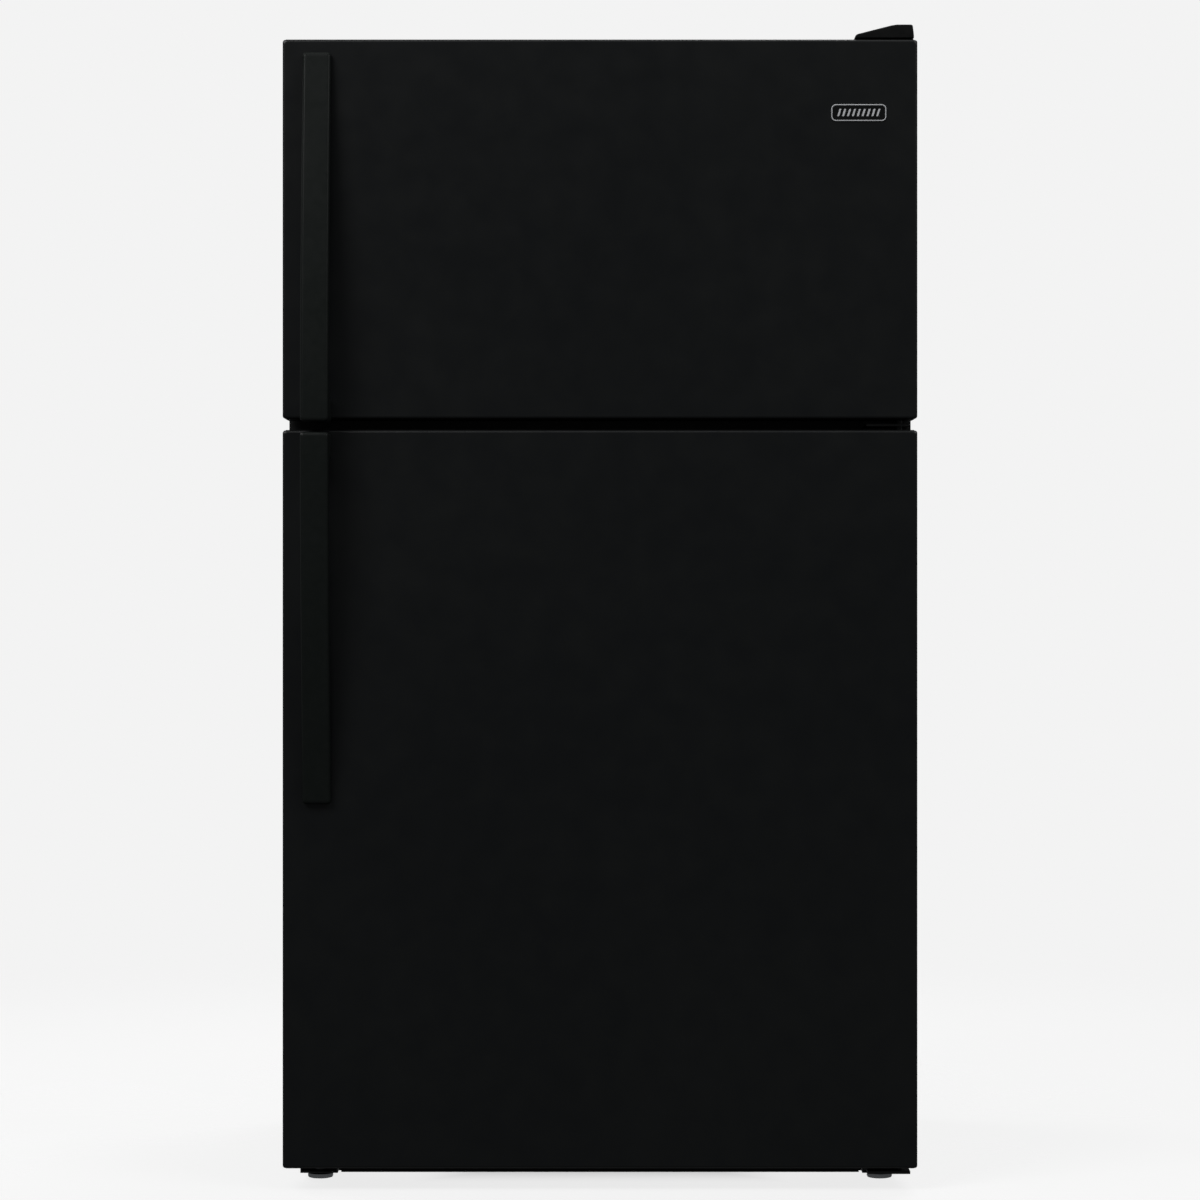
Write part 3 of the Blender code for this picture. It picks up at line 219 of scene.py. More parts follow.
DOOR_ENAMEL = finish("door_enamel", "black_enamel", (0.0040, 0.0048, 0.0054), (0.0052, 0.0060, 0.0062),
                     0.34, 0.05, 2.2, 420.0, 0.000012, 0.2, dust=0.01, Specular_IOR_Level=0.28,
                     Coat_Weight=0.06, Coat_Roughness=0.20)
CABINET_ENAMEL = finish("cabinet_enamel", "black_enamel", (0.0036, 0.0039, 0.0042),
                        (0.0056, 0.0058, 0.0060), 0.44, 0.08, 3.0, 330.0, 0.00010, 0.75, dust=0.03,
                        Specular_IOR_Level=0.30)
# The handle's black is lighter than the other black plastic. Part of that is painted sheen: colour standing
# in for light the glossy bar reflects.
HANDLE_PLASTIC = finish("handle_plastic", "black_plastic", (0.0078, 0.0096, 0.0088),
                        (0.0094, 0.0112, 0.0104), 0.36, 0.06, 9.0, 900.0, 0.000010, 0.5,
                        Specular_IOR_Level=0.11)
TRIM_PLASTIC = finish("trim_plastic", "black_plastic", (0.0022, 0.0024, 0.0025), (0.0034, 0.0036, 0.0036),
                      0.50, 0.08, 8.0, 800.0, 0.00004, 0.7, dust=0.01, Specular_IOR_Level=0.14)
COMPRESSOR_PAINT = finish("compressor_paint", "compressor_black", (0.012, 0.012, 0.013),
                          (0.022, 0.021, 0.020), 0.42, 0.12, 14.0, 260.0, 0.00008, 0.3, dust=0.30)
LINER_WHITE = finish("liner_white", "white_plastic", (0.80, 0.82, 0.83), (0.78, 0.80, 0.805), 0.30, 0.03,
                     3.0, 240.0, 0.00003, 0.1, Specular_IOR_Level=0.45)
MOULDED_WHITE = finish("moulded_white", "white_plastic", (0.78, 0.79, 0.79), (0.71, 0.72, 0.71), 0.38, 0.08,
                       12.0, 700.0, 0.00004, 0.6)
WIRE_WHITE = finish("vinyl_coated_wire", "white_plastic", (0.80, 0.81, 0.80), (0.70, 0.71, 0.69), 0.34,
                    0.08, 20.0, 500.0, 0.00003, 0.2, Coat_Weight=0.2)
MOULDED_GREY = finish("moulded_grey", "grey_plastic", (0.40, 0.42, 0.43), (0.34, 0.35, 0.36), 0.44, 0.08,
                      14.0, 700.0, 0.00005, 0.6)
MARK_GREY = finish("printed_marks", "grey_plastic", (0.10, 0.11, 0.12), (0.14, 0.15, 0.16), 0.55, 0.05,
                   60.0, 900.0, 0.00002, 0.5)
CLEAR_PLASTIC = finish("clear_plastic", "clear_plastic", (0.965, 0.985, 0.99), (0.93, 0.965, 0.975), 0.08,
                       0.06, 6.0, 150.0, 0.00003, 0.1, Transmission_Weight=0.93, IOR=1.46)
FROSTED_PLASTIC = finish("frosted_plastic", "clear_plastic", (0.88, 0.90, 0.90), (0.80, 0.82, 0.82), 0.42,
                         0.10, 8.0, 400.0, 0.00008, 0.5, Transmission_Weight=0.55, IOR=1.46)
SHELF_GLASS = finish("shelf_glass", "shelf_glass", (0.955, 0.99, 0.98), (0.93, 0.975, 0.96), 0.03, 0.03,
                     5.0, 60.0, 0.00001, 0.0, Transmission_Weight=0.96, IOR=1.5)
SEAL_VINYL = finish("seal_vinyl", "gasket_vinyl", (0.012, 0.012, 0.013), (0.022, 0.022, 0.022), 0.55, 0.10,
                    18.0, 520.0, 0.00005, 0.5, dust=0.10)
ZINC_SHEET = finish("zinc_sheet", "zinc_steel", (0.50, 0.52, 0.54), (0.36, 0.38, 0.40), 0.40, 0.16, 6.0,
                    180.0, 0.00003, 0.4, dust=0.10, spangle=70.0, Metallic=0.6)
PLATED_STEEL = finish("plated_steel", "zinc_steel", (0.55, 0.56, 0.58), (0.42, 0.43, 0.44), 0.32, 0.12,
                      40.0, 900.0, 0.00002, 0.2, (1, 1, 0.08), Metallic=1.0)
BLACK_STEEL = finish("blackened_steel", "zinc_steel", (0.020, 0.020, 0.021), (0.032, 0.032, 0.032), 0.40,
                     0.12, 30.0, 700.0, 0.00003, 0.3, Metallic=0.6)
FOAM = finish("blown_foam", "foam", (0.78, 0.64, 0.34), (0.66, 0.50, 0.24), 0.95, 0.05, 16.0, 260.0, 0.0006,
              0.9)
FIN_ALUMINIUM = finish("fin_aluminium", "fin_aluminium", (0.72, 0.73, 0.75), (0.60, 0.61, 0.63), 0.34, 0.12,
                       12.0, 600.0, 0.00003, 0.1, (1, 1, 0.1), Metallic=1.0)
COPPER = finish("copper_tube", "copper_tube", (0.70, 0.34, 0.20), (0.45, 0.20, 0.12), 0.32, 0.16, 30.0, 600.0,
                0.00003, 0.2, Metallic=1.0)
BADGE_METAL = finish("badge_metal", "badge_metal", (0.80, 0.81, 0.83), (0.66, 0.67, 0.69), 0.24, 0.10, 50.0,
                     2400.0, 0.00001, 0.1, (0.05, 1, 1), Metallic=0.35)
RUBBER = finish("grommet_rubber", "grommet_rubber", (0.016, 0.016, 0.016), (0.028, 0.027, 0.026), 0.72,
                0.10, 30.0, 500.0, 0.00006, 0.5, dust=0.2)


# ---------------------------------------------------------------- shapes

def round_off(bm, radius, segments=2, angle=30, keep=None):
    """Round the edges sharper than the angle, apart from those that keep() picks out."""
    if radius:
        edges = [e for e in bm.edges if len(e.link_faces) == 2
                 and e.calc_face_angle(0.0) > math.radians(angle)]
        if keep:
            edges = [e for e in edges if not keep(e)]
        bmesh.ops.bevel(bm, geom=edges, offset=radius, segments=segments, profile=0.5, affect="EDGES",
                        clamp_overlap=True)


def merge(bm, part):
    mesh = bpy.data.meshes.new("part")
    part.to_mesh(mesh)
    part.free()
    bm.from_mesh(mesh)
    bpy.data.meshes.remove(mesh)


def box(bm, low, high, radius=0.0, segments=2):
    low = Vector(low)
    high = Vector(high)
    part = bmesh.new()
    place = Matrix.Translation((low + high) / 2) @ Matrix.Diagonal((*(high - low), 1.0))
    bmesh.ops.create_cube(part, size=1.0, matrix=place)
    round_off(part, radius, segments)
    merge(bm, part)


def at(axis, across, up, level):
    """A point of a flat outline: (y, z) along X, (x, z) along Y and (x, y) along Z."""
    return {"X": Vector((level, across, up)), "Y": Vector((across, level, up)),
            "Z": Vector((across, up, level))}[axis]


def prism(bm, outline, axis, low, high, radius=0.0, segments=2, angle=30):
    part = bmesh.new()
    ends = [[part.verts.new(at(axis, a, b, level)) for a, b in outline] for level in (low, high)]
    for end in ends:
        part.faces.new(end)
    for i in range(len(outline)):
        part.faces.new((ends[0][i - 1], ends[0][i], ends[1][i], ends[1][i - 1]))
    bmesh.ops.recalc_face_normals(part, faces=part.faces)
    round_off(part, radius, segments, angle)
    merge(bm, part)


def ring_of_points(axis, level, low, high, inset=0.0, radius=0.001, steps=5):
    """A rectangle with round corners, across one axis, pulled in by the inset."""
    a0, b0 = low[0] + inset, low[1] + inset
    a1, b1 = high[0] - inset, high[1] - inset
    radius = max(radius, 0.0002)
    points = []
    for a, b, quarter in ((a1 - radius, b1 - radius, 0), (a0 + radius, b1 - radius, 1),
                          (a0 + radius, b0 + radius, 2), (a1 - radius, b0 + radius, 3)):
        for step in range(steps + 1):
            turn = (quarter + step / steps) * math.pi / 2
            points.append(at(axis, a + radius * math.cos(turn), b + radius * math.sin(turn), level))
    return points


def loft(bm, loops, cyclic=False):
    """Skin a row of loops: closed at both ends, or joined last to first."""
    part = bmesh.new()
    rings = [[part.verts.new(point) for point in loop] for loop in loops]
    following = rings[1:] + rings[:1] if cyclic else rings[1:]
    for near, far in zip(rings, following):
        for i in range(len(near)):
            part.faces.new((near[i - 1], near[i], far[i], far[i - 1]))
    if not cyclic:
        part.faces.new(rings[0])
        part.faces.new(rings[-1])
    bmesh.ops.remove_doubles(part, verts=part.verts, dist=0.0000005)
    bmesh.ops.recalc_face_normals(part, faces=part.faces)
    merge(bm, part)


def lathe(bm, profile, centre, axis="Z", steps=32):
    """Turn (radius, height) points about a line through the centre."""
    facing = {"X": Vector((1, 0, 0)), "Y": Vector((0, 1, 0)), "Z": Vector((0, 0, 1))}[axis]
    turn = Vector((0, 0, 1)).rotation_difference(facing).to_matrix()
    loops = []
    for radius, height in profile:
        around = [2 * math.pi * i / steps for i in range(steps)]
        loops.append([Vector(centre) + turn @ Vector((radius * math.cos(a), radius * math.sin(a), height))
                      for a in around])
    loft(bm, loops)


def rod(bm, start, end, radius, steps=16, bevel=0.15):
    """A straight round bar with softened ends, along one axis."""
    run = Vector(end) - Vector(start)
    axis = "XYZ"[max(range(3), key=lambda i: abs(run[i]))]
    length = run.length * (1 if run["XYZ".index(axis)] > 0 else -1)
    soft = radius * bevel * (1 if length > 0 else -1)
    inner = radius * (1 - bevel)
    lathe(bm, [(inner, 0), (radius, soft), (radius, length - soft), (inner, length)], start, axis, steps)


def tray(bm, low, high, wall, corner, draft=0.0, overhang=0.0, rim=0.004, foot=0.005):
    """An open container with round corners, sloping walls and a rim that overhangs them."""
    low = Vector(low)
    high = Vector(high)

    def ring(z, inset, radius):
        return ring_of_points("Z", z, low.xy, high.xy, inset, radius)

    top = high.z
    inside = overhang + wall
    loops = [
        ring(low.z, draft + foot, corner - foot / 2), ring(low.z + foot * 0.3, draft + foot * 0.3, corner),
        ring(low.z + foot, draft, corner), ring(top - rim, overhang, corner),
    ]
    if overhang:
        loops.append(ring(top - rim, 0.0, corner + overhang))
    loops += [ring(top - 0.0006, 0.0, corner), ring(top, 0.0006, corner),
              ring(top, inside - 0.0006, corner - wall), ring(top - 0.0006, inside, corner - wall),
              ring(low.z + wall + foot, draft + wall, corner - wall),
              ring(low.z + wall, draft + wall + foot, corner - wall - foot / 2)]
    loft(bm, loops)


def path_of(points):
    """A path as a mesh of edges, for a tube to follow."""
    bm = bmesh.new()
    verts = [bm.verts.new(point) for point in points]
    for near, far in zip(verts, verts[1:]):
        bm.edges.new((near, far))
    return bm


def rounded_path(corners, radius, steps=5):
    corners = [Vector(corner) for corner in corners]
    path = [corners[0]]
    for before, corner, after in zip(corners, corners[1:], corners[2:]):
        start = corner + (before - corner).normalized() * radius
        end = corner + (after - corner).normalized() * radius
        for step in range(steps + 1):
            t = step / steps
            path.append(start * (1 - t) ** 2 + corner * 2 * t * (1 - t) + end * t ** 2)
    return path + [corners[-1]]


def circle(x, z, radius, sides=32):
    turns = [2 * math.pi * i / sides for i in range(sides)]
    return [(x + radius * math.cos(a), z + radius * math.sin(a)) for a in turns]


def copy_of(node, radius, segments=2, angle=40):
    """The shape of a CAD node, welded, with its edges rounded."""
    bm = bmesh.new()
    bm.from_mesh(frame["nodes"][node].data)
    bmesh.ops.remove_doubles(bm, verts=bm.verts, dist=0.000002)
    bmesh.ops.dissolve_limit(bm, angle_limit=math.radians(0.5), verts=bm.verts, edges=bm.edges)
    round_off(bm, radius, segments, angle)
    return bm


# ---------------------------------------------------------------- finished pieces

def object_of(name, bm):
    mesh = bpy.data.meshes.new(name)
    bm.to_mesh(mesh)
    bm.free()
    piece = bpy.data.objects.new(name, mesh)
    SCENE.collection.objects.link(piece)
    return piece


def settle(piece, look, node, stands, angle):
    """Shade a finished mesh and let it move with its node's body, and stand for the node if it should."""
    piece.data.shade_smooth()
    piece.data.set_sharp_from_angle(angle=math.radians(angle))
    weigh = piece.modifiers.new("weigh", "WEIGHTED_NORMAL")
    weigh.keep_sharp = True
    plain_mesh(piece)
    piece.visible_shadow = look not in (CLEAR_PLASTIC, FROSTED_PLASTIC, SHELF_GLASS)
    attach(piece, frame["nodes"][node]["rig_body"])
    if stands:
        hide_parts(*stands)
    return piece


def piece(name, look, node, bm, stands=True, angle=32):
    """A piece on the body of a CAD node. stands is True if it stands for that node."""
    made = object_of(name, bm)
    made.data.materials.append(look)
    return settle(made, look, node, (node,) if stands else (), angle)


def plain_mesh(holder):
    """Replace an object's mesh by what its modifiers make of it."""
    depsgraph = bpy.context.evaluated_depsgraph_get()
    mesh = bpy.data.meshes.new_from_object(holder.evaluated_get(depsgraph))
    holder.modifiers.clear()
    holder.data = mesh


def grown(name, look, node, bm, tree, stands=False, angle=32, **inputs):
    """A piece that a node tree makes from a small mesh: the thing it repeats, or the path it follows."""
    holder = object_of(name, bm)
    step = holder.modifiers.new("grown", "NODES")
    step.node_group = tree
    inputs["Material"] = look
    for socket in tree.interface.items_tree:
        if socket.in_out == "INPUT" and socket.name in inputs:
            step[socket.identifier] = inputs[socket.name]
    plain_mesh(holder)
    return settle(holder, look, node, (node,) if stands else (), angle)


def thickened(bm, thickness):
    """Give an open sheet its thickness, away from the side that its faces point to."""
    holder = object_of("sheet", bm)
    wall = holder.modifiers.new("wall", "SOLIDIFY")
    wall.thickness = thickness
    wall.offset = -1.0
    wall.use_even_offset = True
    plain_mesh(holder)
    out = bmesh.new()
    out.from_mesh(holder.data)
    bpy.data.objects.remove(holder)
    return out


# ---------------------------------------------------------------- trees for what repeats

def end_tree(tree, made, geometry, material):
    real = put(tree, "GeometryNodeRealizeInstances", Geometry=geometry)
    painted = put(tree, "GeometryNodeSetMaterial", Geometry=real.outputs[0], Material=material)
    tree.links.new(painted.outputs[0], made["Geometry"])


def make_rows_tree():
    """Repeats its mesh along one direction, and the whole row along a second."""
    tree, given, made = new_tree("rows", "GeometryNodeTree", [
        ("Geometry", "Geometry", None), ("Count", "Int", 2), ("Step", "Vector", (0.01, 0, 0)),
        ("Rows", "Int", 1), ("Row Step", "Vector", (0, 0, 0.01)), ("Material", "Material", None),
    ], [("Geometry", "Geometry")])
    line = put(tree, "GeometryNodeMeshLine", {"mode": "OFFSET"}, Count=given["Count"], Offset=given["Step"])
    row = put(tree, "GeometryNodeInstanceOnPoints", Points=line.outputs[0], Instance=given["Geometry"])
    lines = put(tree, "GeometryNodeMeshLine", {"mode": "OFFSET"}, Count=given["Rows"],
                Offset=given["Row Step"])
    rows = put(tree, "GeometryNodeInstanceOnPoints", Points=lines.outputs[0], Instance=row.outputs[0])
    end_tree(tree, made, rows.outputs[0], given["Material"])
    return tree


def make_wheel_tree():
    """Repeats its mesh about an axis through a centre."""
    tree, given, made = new_tree("wheel", "GeometryNodeTree", [
        ("Geometry", "Geometry", None), ("Count", "Int", 6), ("Axis", "Vector", (0, 0, 1)),
        ("Centre", "Vector", (0, 0, 0)), ("Material", "Material", None),
    ], [("Geometry", "Geometry")])
    line = put(tree, "GeometryNodeMeshLine", {"mode": "OFFSET"}, Count=given["Count"], Offset=(0, 0, 0))
    copies = put(tree, "GeometryNodeInstanceOnPoints", Points=line.outputs[0], Instance=given["Geometry"])
    index = put(tree, "GeometryNodeInputIndex")
    share = put(tree, "ShaderNodeMath", {"operation": "DIVIDE"}, at0=index.outputs[0], at1=given["Count"])
    turn = put(tree, "ShaderNodeMath", {"operation": "MULTIPLY"}, at0=share.outputs[0], at1=2 * math.pi)
    spin = put(tree, "ShaderNodeVectorMath", {"operation": "SCALE"}, at0=given["Axis"], Scale=turn.outputs[0])
    turned = put(tree, "GeometryNodeRotateInstances", Instances=copies.outputs[0], Rotation=spin.outputs[0],
                 Pivot_Point=given["Centre"], Local_Space=False)
    end_tree(tree, made, turned.outputs[0], given["Material"])
    return tree


def make_screws_tree():
    """A hexagon-washer screw on every point of its mesh, turned to face the way it is told."""
    tree, given, made = new_tree("screws", "GeometryNodeTree", [
        ("Geometry", "Geometry", None), ("Size", "Float", 0.004), ("Turn", "Vector", (0, 0, 0)),
        ("Material", "Material", None),
    ], [("Geometry", "Geometry")])

    def share(factor):
        return put(tree, "ShaderNodeMath", {"operation": "MULTIPLY"}, at0=given["Size"],
                   at1=factor).outputs[0]

    washer = put(tree, "GeometryNodeMeshCylinder", Vertices=16, Radius=given["Size"], Depth=share(0.36))
    head = put(tree, "GeometryNodeMeshCylinder", Vertices=6, Radius=share(0.66), Depth=share(0.80))
    raised = put(tree, "ShaderNodeCombineXYZ", Z=share(0.45))
    lifted = put(tree, "GeometryNodeTransform", Geometry=head.outputs["Mesh"], Translation=raised.outputs[0])
    drive_low = put(tree, "ShaderNodeCombineXYZ", X=share(0.9), Y=share(0.16), Z=share(0.5))
    drive = put(tree, "GeometryNodeMeshCube", Size=drive_low.outputs[0])
    top = put(tree, "ShaderNodeCombineXYZ", Z=share(0.95))
    slot = put(tree, "GeometryNodeTransform", Geometry=drive.outputs["Mesh"], Translation=top.outputs[0])
    cut = put(tree, "GeometryNodeMeshBoolean", {"operation": "DIFFERENCE"}, Mesh_1=lifted.outputs[0],
              Mesh_2=slot.outputs[0])
    screw = put(tree, "GeometryNodeJoinGeometry")
    tree.links.new(washer.outputs["Mesh"], screw.inputs[0])
    tree.links.new(cut.outputs[0], screw.inputs[0])
    copies = put(tree, "GeometryNodeInstanceOnPoints", Points=given["Geometry"], Instance=screw.outputs[0],
                 Rotation=given["Turn"])
    end_tree(tree, made, copies.outputs[0], given["Material"])
    return tree


def make_tube_tree():
    """A round tube with closed ends along its path."""
    tree, given, made = new_tree("tube", "GeometryNodeTree",
                                 [("Geometry", "Geometry", None), ("Radius", "Float", 0.003),
                                  ("Sides", "Int", 12), ("Material", "Material", None)],
                                 [("Geometry", "Geometry")])
    path = put(tree, "GeometryNodeMeshToCurve", Mesh=given["Geometry"])
    section = put(tree, "GeometryNodeCurvePrimitiveCircle", {"mode": "RADIUS"}, Resolution=given["Sides"],
                  Radius=given["Radius"])
    skin = put(tree, "GeometryNodeCurveToMesh", Curve=path.outputs[0], Profile_Curve=section.outputs[0],
               Fill_Caps=True)
    end_tree(tree, made, skin.outputs[0], given["Material"])
    return tree


ROWS = make_rows_tree()
WHEEL = make_wheel_tree()
SCREWS = make_screws_tree()
TUBE = make_tube_tree()
FACE_UP = (0.0, 0.0, 0.0)
FACE_BACK = (-math.pi / 2, 0.0, 0.0)
FACE_FRONT = (math.pi / 2, 0.0, 0.0)


def screws(name, node, points, size, facing, look=PLATED_STEEL):
    bm = bmesh.new()
    for point in points:
        bm.verts.new(point)
    return grown(name, look, node, bm, SCREWS, Size=size, Turn=facing)


# ---------------------------------------------------------------- doors

EDGE = 0.0035
PIN = Vector((0.394, -0.298, 0.0))
DOORS = {
    # door: how far its dike stands in from the liner's sides, bottom and top
    "freezer_door": (0.061, 0.0325, 0.056),
    "fridge_door": (0.061, 0.075, 0.042),
}


def make_door_skin(door):
    """The folded steel skin, and the moulded caps on its top and bottom."""
    node = door + "_panel"
    low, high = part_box(node)
    bm = bmesh.new()
    corners = ((low.x, low.z), (high.x, high.z))
    loops = []
    steps = 6
    for step in range(steps + 1):
        turn = step / steps * math.pi / 2
        loops.append(ring_of_points("Y", low.y + EDGE * (1 - math.cos(turn)), *corners,
                                    EDGE * (1 - math.sin(turn)), EDGE))
    loops.append(ring_of_points("Y", high.y - 0.0008, *corners, 0.0, EDGE))
    loops.append(ring_of_points("Y", high.y, *corners, 0.0008, EDGE))
    loft(bm, loops)
    piece(door + "_skin", DOOR_ENAMEL, node, bm)

    bm = bmesh.new()
    proud = 0.0007
    for z in (low.z, high.z):
        box(bm, (low.x + 0.004, low.y + 0.005, z - proud), (high.x - 0.004, high.y - 0.002, z + proud),
            0.0004)
        lathe(bm, [(0.0052, -0.0012), (0.0080, -0.0012), (0.0092, 0.0), (0.0080, 0.0012), (0.0052, 0.0012)],
              (PIN.x, PIN.y, z), "Z", 28)
    piece(door + "_end_caps", TRIM_PLASTIC, node, bm, False)


def make_door_foam(door):
    low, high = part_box(door + "_panel")
    inset = Vector((0.0018, 0.0018, 0.0018))
    bm = bmesh.new()
    box(bm, low + inset, high - inset, 0.003)
    piece(door + "_foam_core", FOAM, door + "_foam", bm)


def make_door_liner(door):
    """The moulded inner face: a flat land for the seal, then a ring-shaped dike round a recessed field."""
    node = door + "_liner"
    low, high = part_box(node)
    side, below, above = DOORS[door]
    plate = ((low.x, low.z), (high.x, high.z))
    dike = ((low.x + side, low.z + below), (high.x - side, high.z - above))
    land = low.y + 0.002
    top = high.y
    rows = [(low.y, plate, 0.0, 0.006), (land - 0.0006, plate, 0.0, 0.006), (land, plate, 0.0006, 0.006),
            (land, dike, -0.0050, 0.024), (land + 0.0012, dike, -0.0022, 0.022),
            (land + 0.005, dike, -0.0004, 0.020), (top - 0.0080, dike, 0.0010, 0.019),
            (top - 0.0030, dike, 0.0025, 0.018), (top - 0.0008, dike, 0.0050, 0.016),
            (top, dike, 0.0085, 0.014), (top, dike, 0.0225, 0.010), (top - 0.0008, dike, 0.0260, 0.009),
            (top - 0.0030, dike, 0.0280, 0.008), (top - 0.0080, dike, 0.0290, 0.008),
            (land + 0.004, dike, 0.0295, 0.008), (land, dike, 0.0335, 0.008), (land, dike, 0.0560, 0.010),
            (land - 0.0012, dike, 0.0590, 0.010)]
    bm = bmesh.new()
    loft(bm, [ring_of_points("Y", y, *frame_of, inset, radius) for y, frame_of, inset, radius in rows])
    return bm


LUG_FRONT = -0.236   # where the moulded steps end, level with the dike's face
LUG_REACH = 0.3155   # from the middle to the dike's inner sides


def make_bin_lugs(bm, bins):
    """Moulded steps on the dike that each bin hooks over."""
    for name in bins:
        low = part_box(name)[0]
        for side in (-1, 1):
            if side < 0 and low.x > -0.1:
                continue
            near, far = sorted((side * (LUG_REACH - 0.012), side * (LUG_REACH + 0.002)))
            box(bm, (near, low.y, low.z - 0.0165), (far, LUG_FRONT, low.z - 0.0005), 0.002, 3)


def make_seal(door):
    """The magnetic seal, with its bellows folds."""
    node = door + "_gasket"
    low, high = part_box(node)
    depth = high.y - low.y
    width = 0.022
    half = [(0.0045, 0.0), (0.0012, 0.06), (0.0004, 0.16), (0.0026, 0.28), (0.0004, 0.40), (0.0026, 0.52),
            (0.0, 0.66), (0.0, 0.90), (0.0012, 1.0)]
    section = half + [(width - inset, share) for inset, share in reversed(half)]
    corners = ((low.x, low.z), (high.x, high.z))
    loops = [ring_of_points("Y", low.y + depth * share, *corners, inset, max(0.014 - inset, 0.002), 6)
             for inset, share in section]
    bm = bmesh.new()
    loft(bm, loops, cyclic=True)
    piece(door + "_seal", SEAL_VINYL, node, bm)


def make_handle(node, end_at_low):
    """A bowed bar, nearly flush at its outer end and standing furthest out next to the other door."""
    low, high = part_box(node)
    face = high.y
    length = high.z - low.z
    rise = 0.0457
    flush = face - low.y - rise
    bar = 0.014
    foot = 0.030
    fillet = 0.012
    corner = 0.0042
    spots = [0.0, 0.0006, 0.0018, 0.0036, 0.0055] + [0.0055 + (foot - 0.0055) * i / 6 for i in range(1, 7)]
    spots += [foot + fillet * i / 8 for i in range(1, 9)]
    spots += [foot + fillet + (length - foot - fillet - 0.006) * i / 44 for i in range(1, 45)]
    spots += [length - 0.0040, length - 0.0020, length - 0.0006, length]
    loops = []
    for distance in spots:
        t = 1 - distance / length
        front = flush + rise * math.sin(math.pi / 2 * t)
        under = max(front - bar, 0.0)
        if distance < foot:
            under = 0.0
        elif distance < foot + fillet:
            share = (distance - foot) / fillet
            under *= math.sqrt(max(0.0, 1 - (1 - share) ** 2))
        end = min(distance, length - distance)
        pull = corner * (1 - math.sqrt(max(0.0, 1 - (1 - min(end / corner, 1.0)) ** 2)))
        z = low.z + distance if end_at_low else high.z - distance
        loops.append(ring_of_points("Z", z, (low.x + pull, face - front + pull),
                                    (high.x - pull, face - under), 0.0,
                                    min(corner, (front - under - pull) * 0.45), 5))
    bm = bmesh.new()
    loft(bm, loops)
    piece(node + "_bar", HANDLE_PLASTIC, node, bm, angle=40)


def make_badge():
    """A small plain badge: a black field in a bright rim, with a row of slanted strokes."""
    low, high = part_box("badge")
    corners = ((low.x, low.z), (high.x, high.z))
    bm = bmesh.new()
    loft(bm, [ring_of_points("Y", y, *corners, inset, 0.006 - inset) for y, inset in
              ((high.y, 0.0004), (low.y + 0.0005, 0.0004), (low.y + 0.0003, 0.0007))])
    piece("badge_field", TRIM_PLASTIC, "badge", bm)
    bm = bmesh.new()
    rim = ((high.y, 0.0), (low.y + 0.0004, 0.0), (low.y, 0.0004), (low.y, 0.0011), (low.y + 0.0004, 0.0015),
           (high.y, 0.0015))
    loft(bm, [ring_of_points("Y", y, *corners, inset, 0.006 - inset) for y, inset in rim], cyclic=True)
    piece("badge_rim", BADGE_METAL, "badge", bm, False)
    strokes = 9
    pitch = 0.0064
    width = 0.0026
    lean = 0.0030
    x = (low.x + high.x) / 2 - pitch * (strokes - 1) / 2 - (width + lean) / 2
    foot = low.z + 0.0062
    head = high.z - 0.0062
    bm = bmesh.new()
    prism(bm, [(x, foot), (x + width, foot), (x + width + lean, head), (x + lean, head)], "Y", low.y,
          low.y + 0.0010, 0.0003, 1)
    grown("badge_strokes", BADGE_METAL, "badge", bm, ROWS, Count=strokes, Step=(pitch, 0.0, 0.0))


def make_bin(node, look, ribs):
    """A clear door bin with a rolled rim, and upright ribs inside its front wall."""
    low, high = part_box(node)
    raised = 0.020 if node == "door_bin_lower" else 0.0
    bm = bmesh.new()
    tray(bm, low, (high.x, high.y, high.z - raised), 0.0022, 0.012, 0.003, 0.0016, 0.005)
    if raised:
        top = high.z
        shelf = high.z - raised
        prism(bm, [(low.x + 0.016, shelf - 0.006), (high.x - 0.016, shelf - 0.006), (high.x - 0.016, shelf),
                   (high.x - 0.040, top), (low.x + 0.040, top), (low.x + 0.016, shelf)],
              "Y", high.y - 0.0024, high.y - 0.0002, 0.0008)
    piece(node + "_tub", look, node, bm)
    bm = bmesh.new()
    x = low.x + 0.030
    step = (high.x - low.x - 0.060) / (ribs - 1)
    box(bm, (x - 0.0010, high.y - 0.0056, low.z + 0.012),
        (x + 0.0010, high.y - 0.0034, high.z - raised - 0.008), 0.0006)
    grown(node + "_ribs", look, node, bm, ROWS, Count=ribs, Step=(step, 0.0, 0.0))


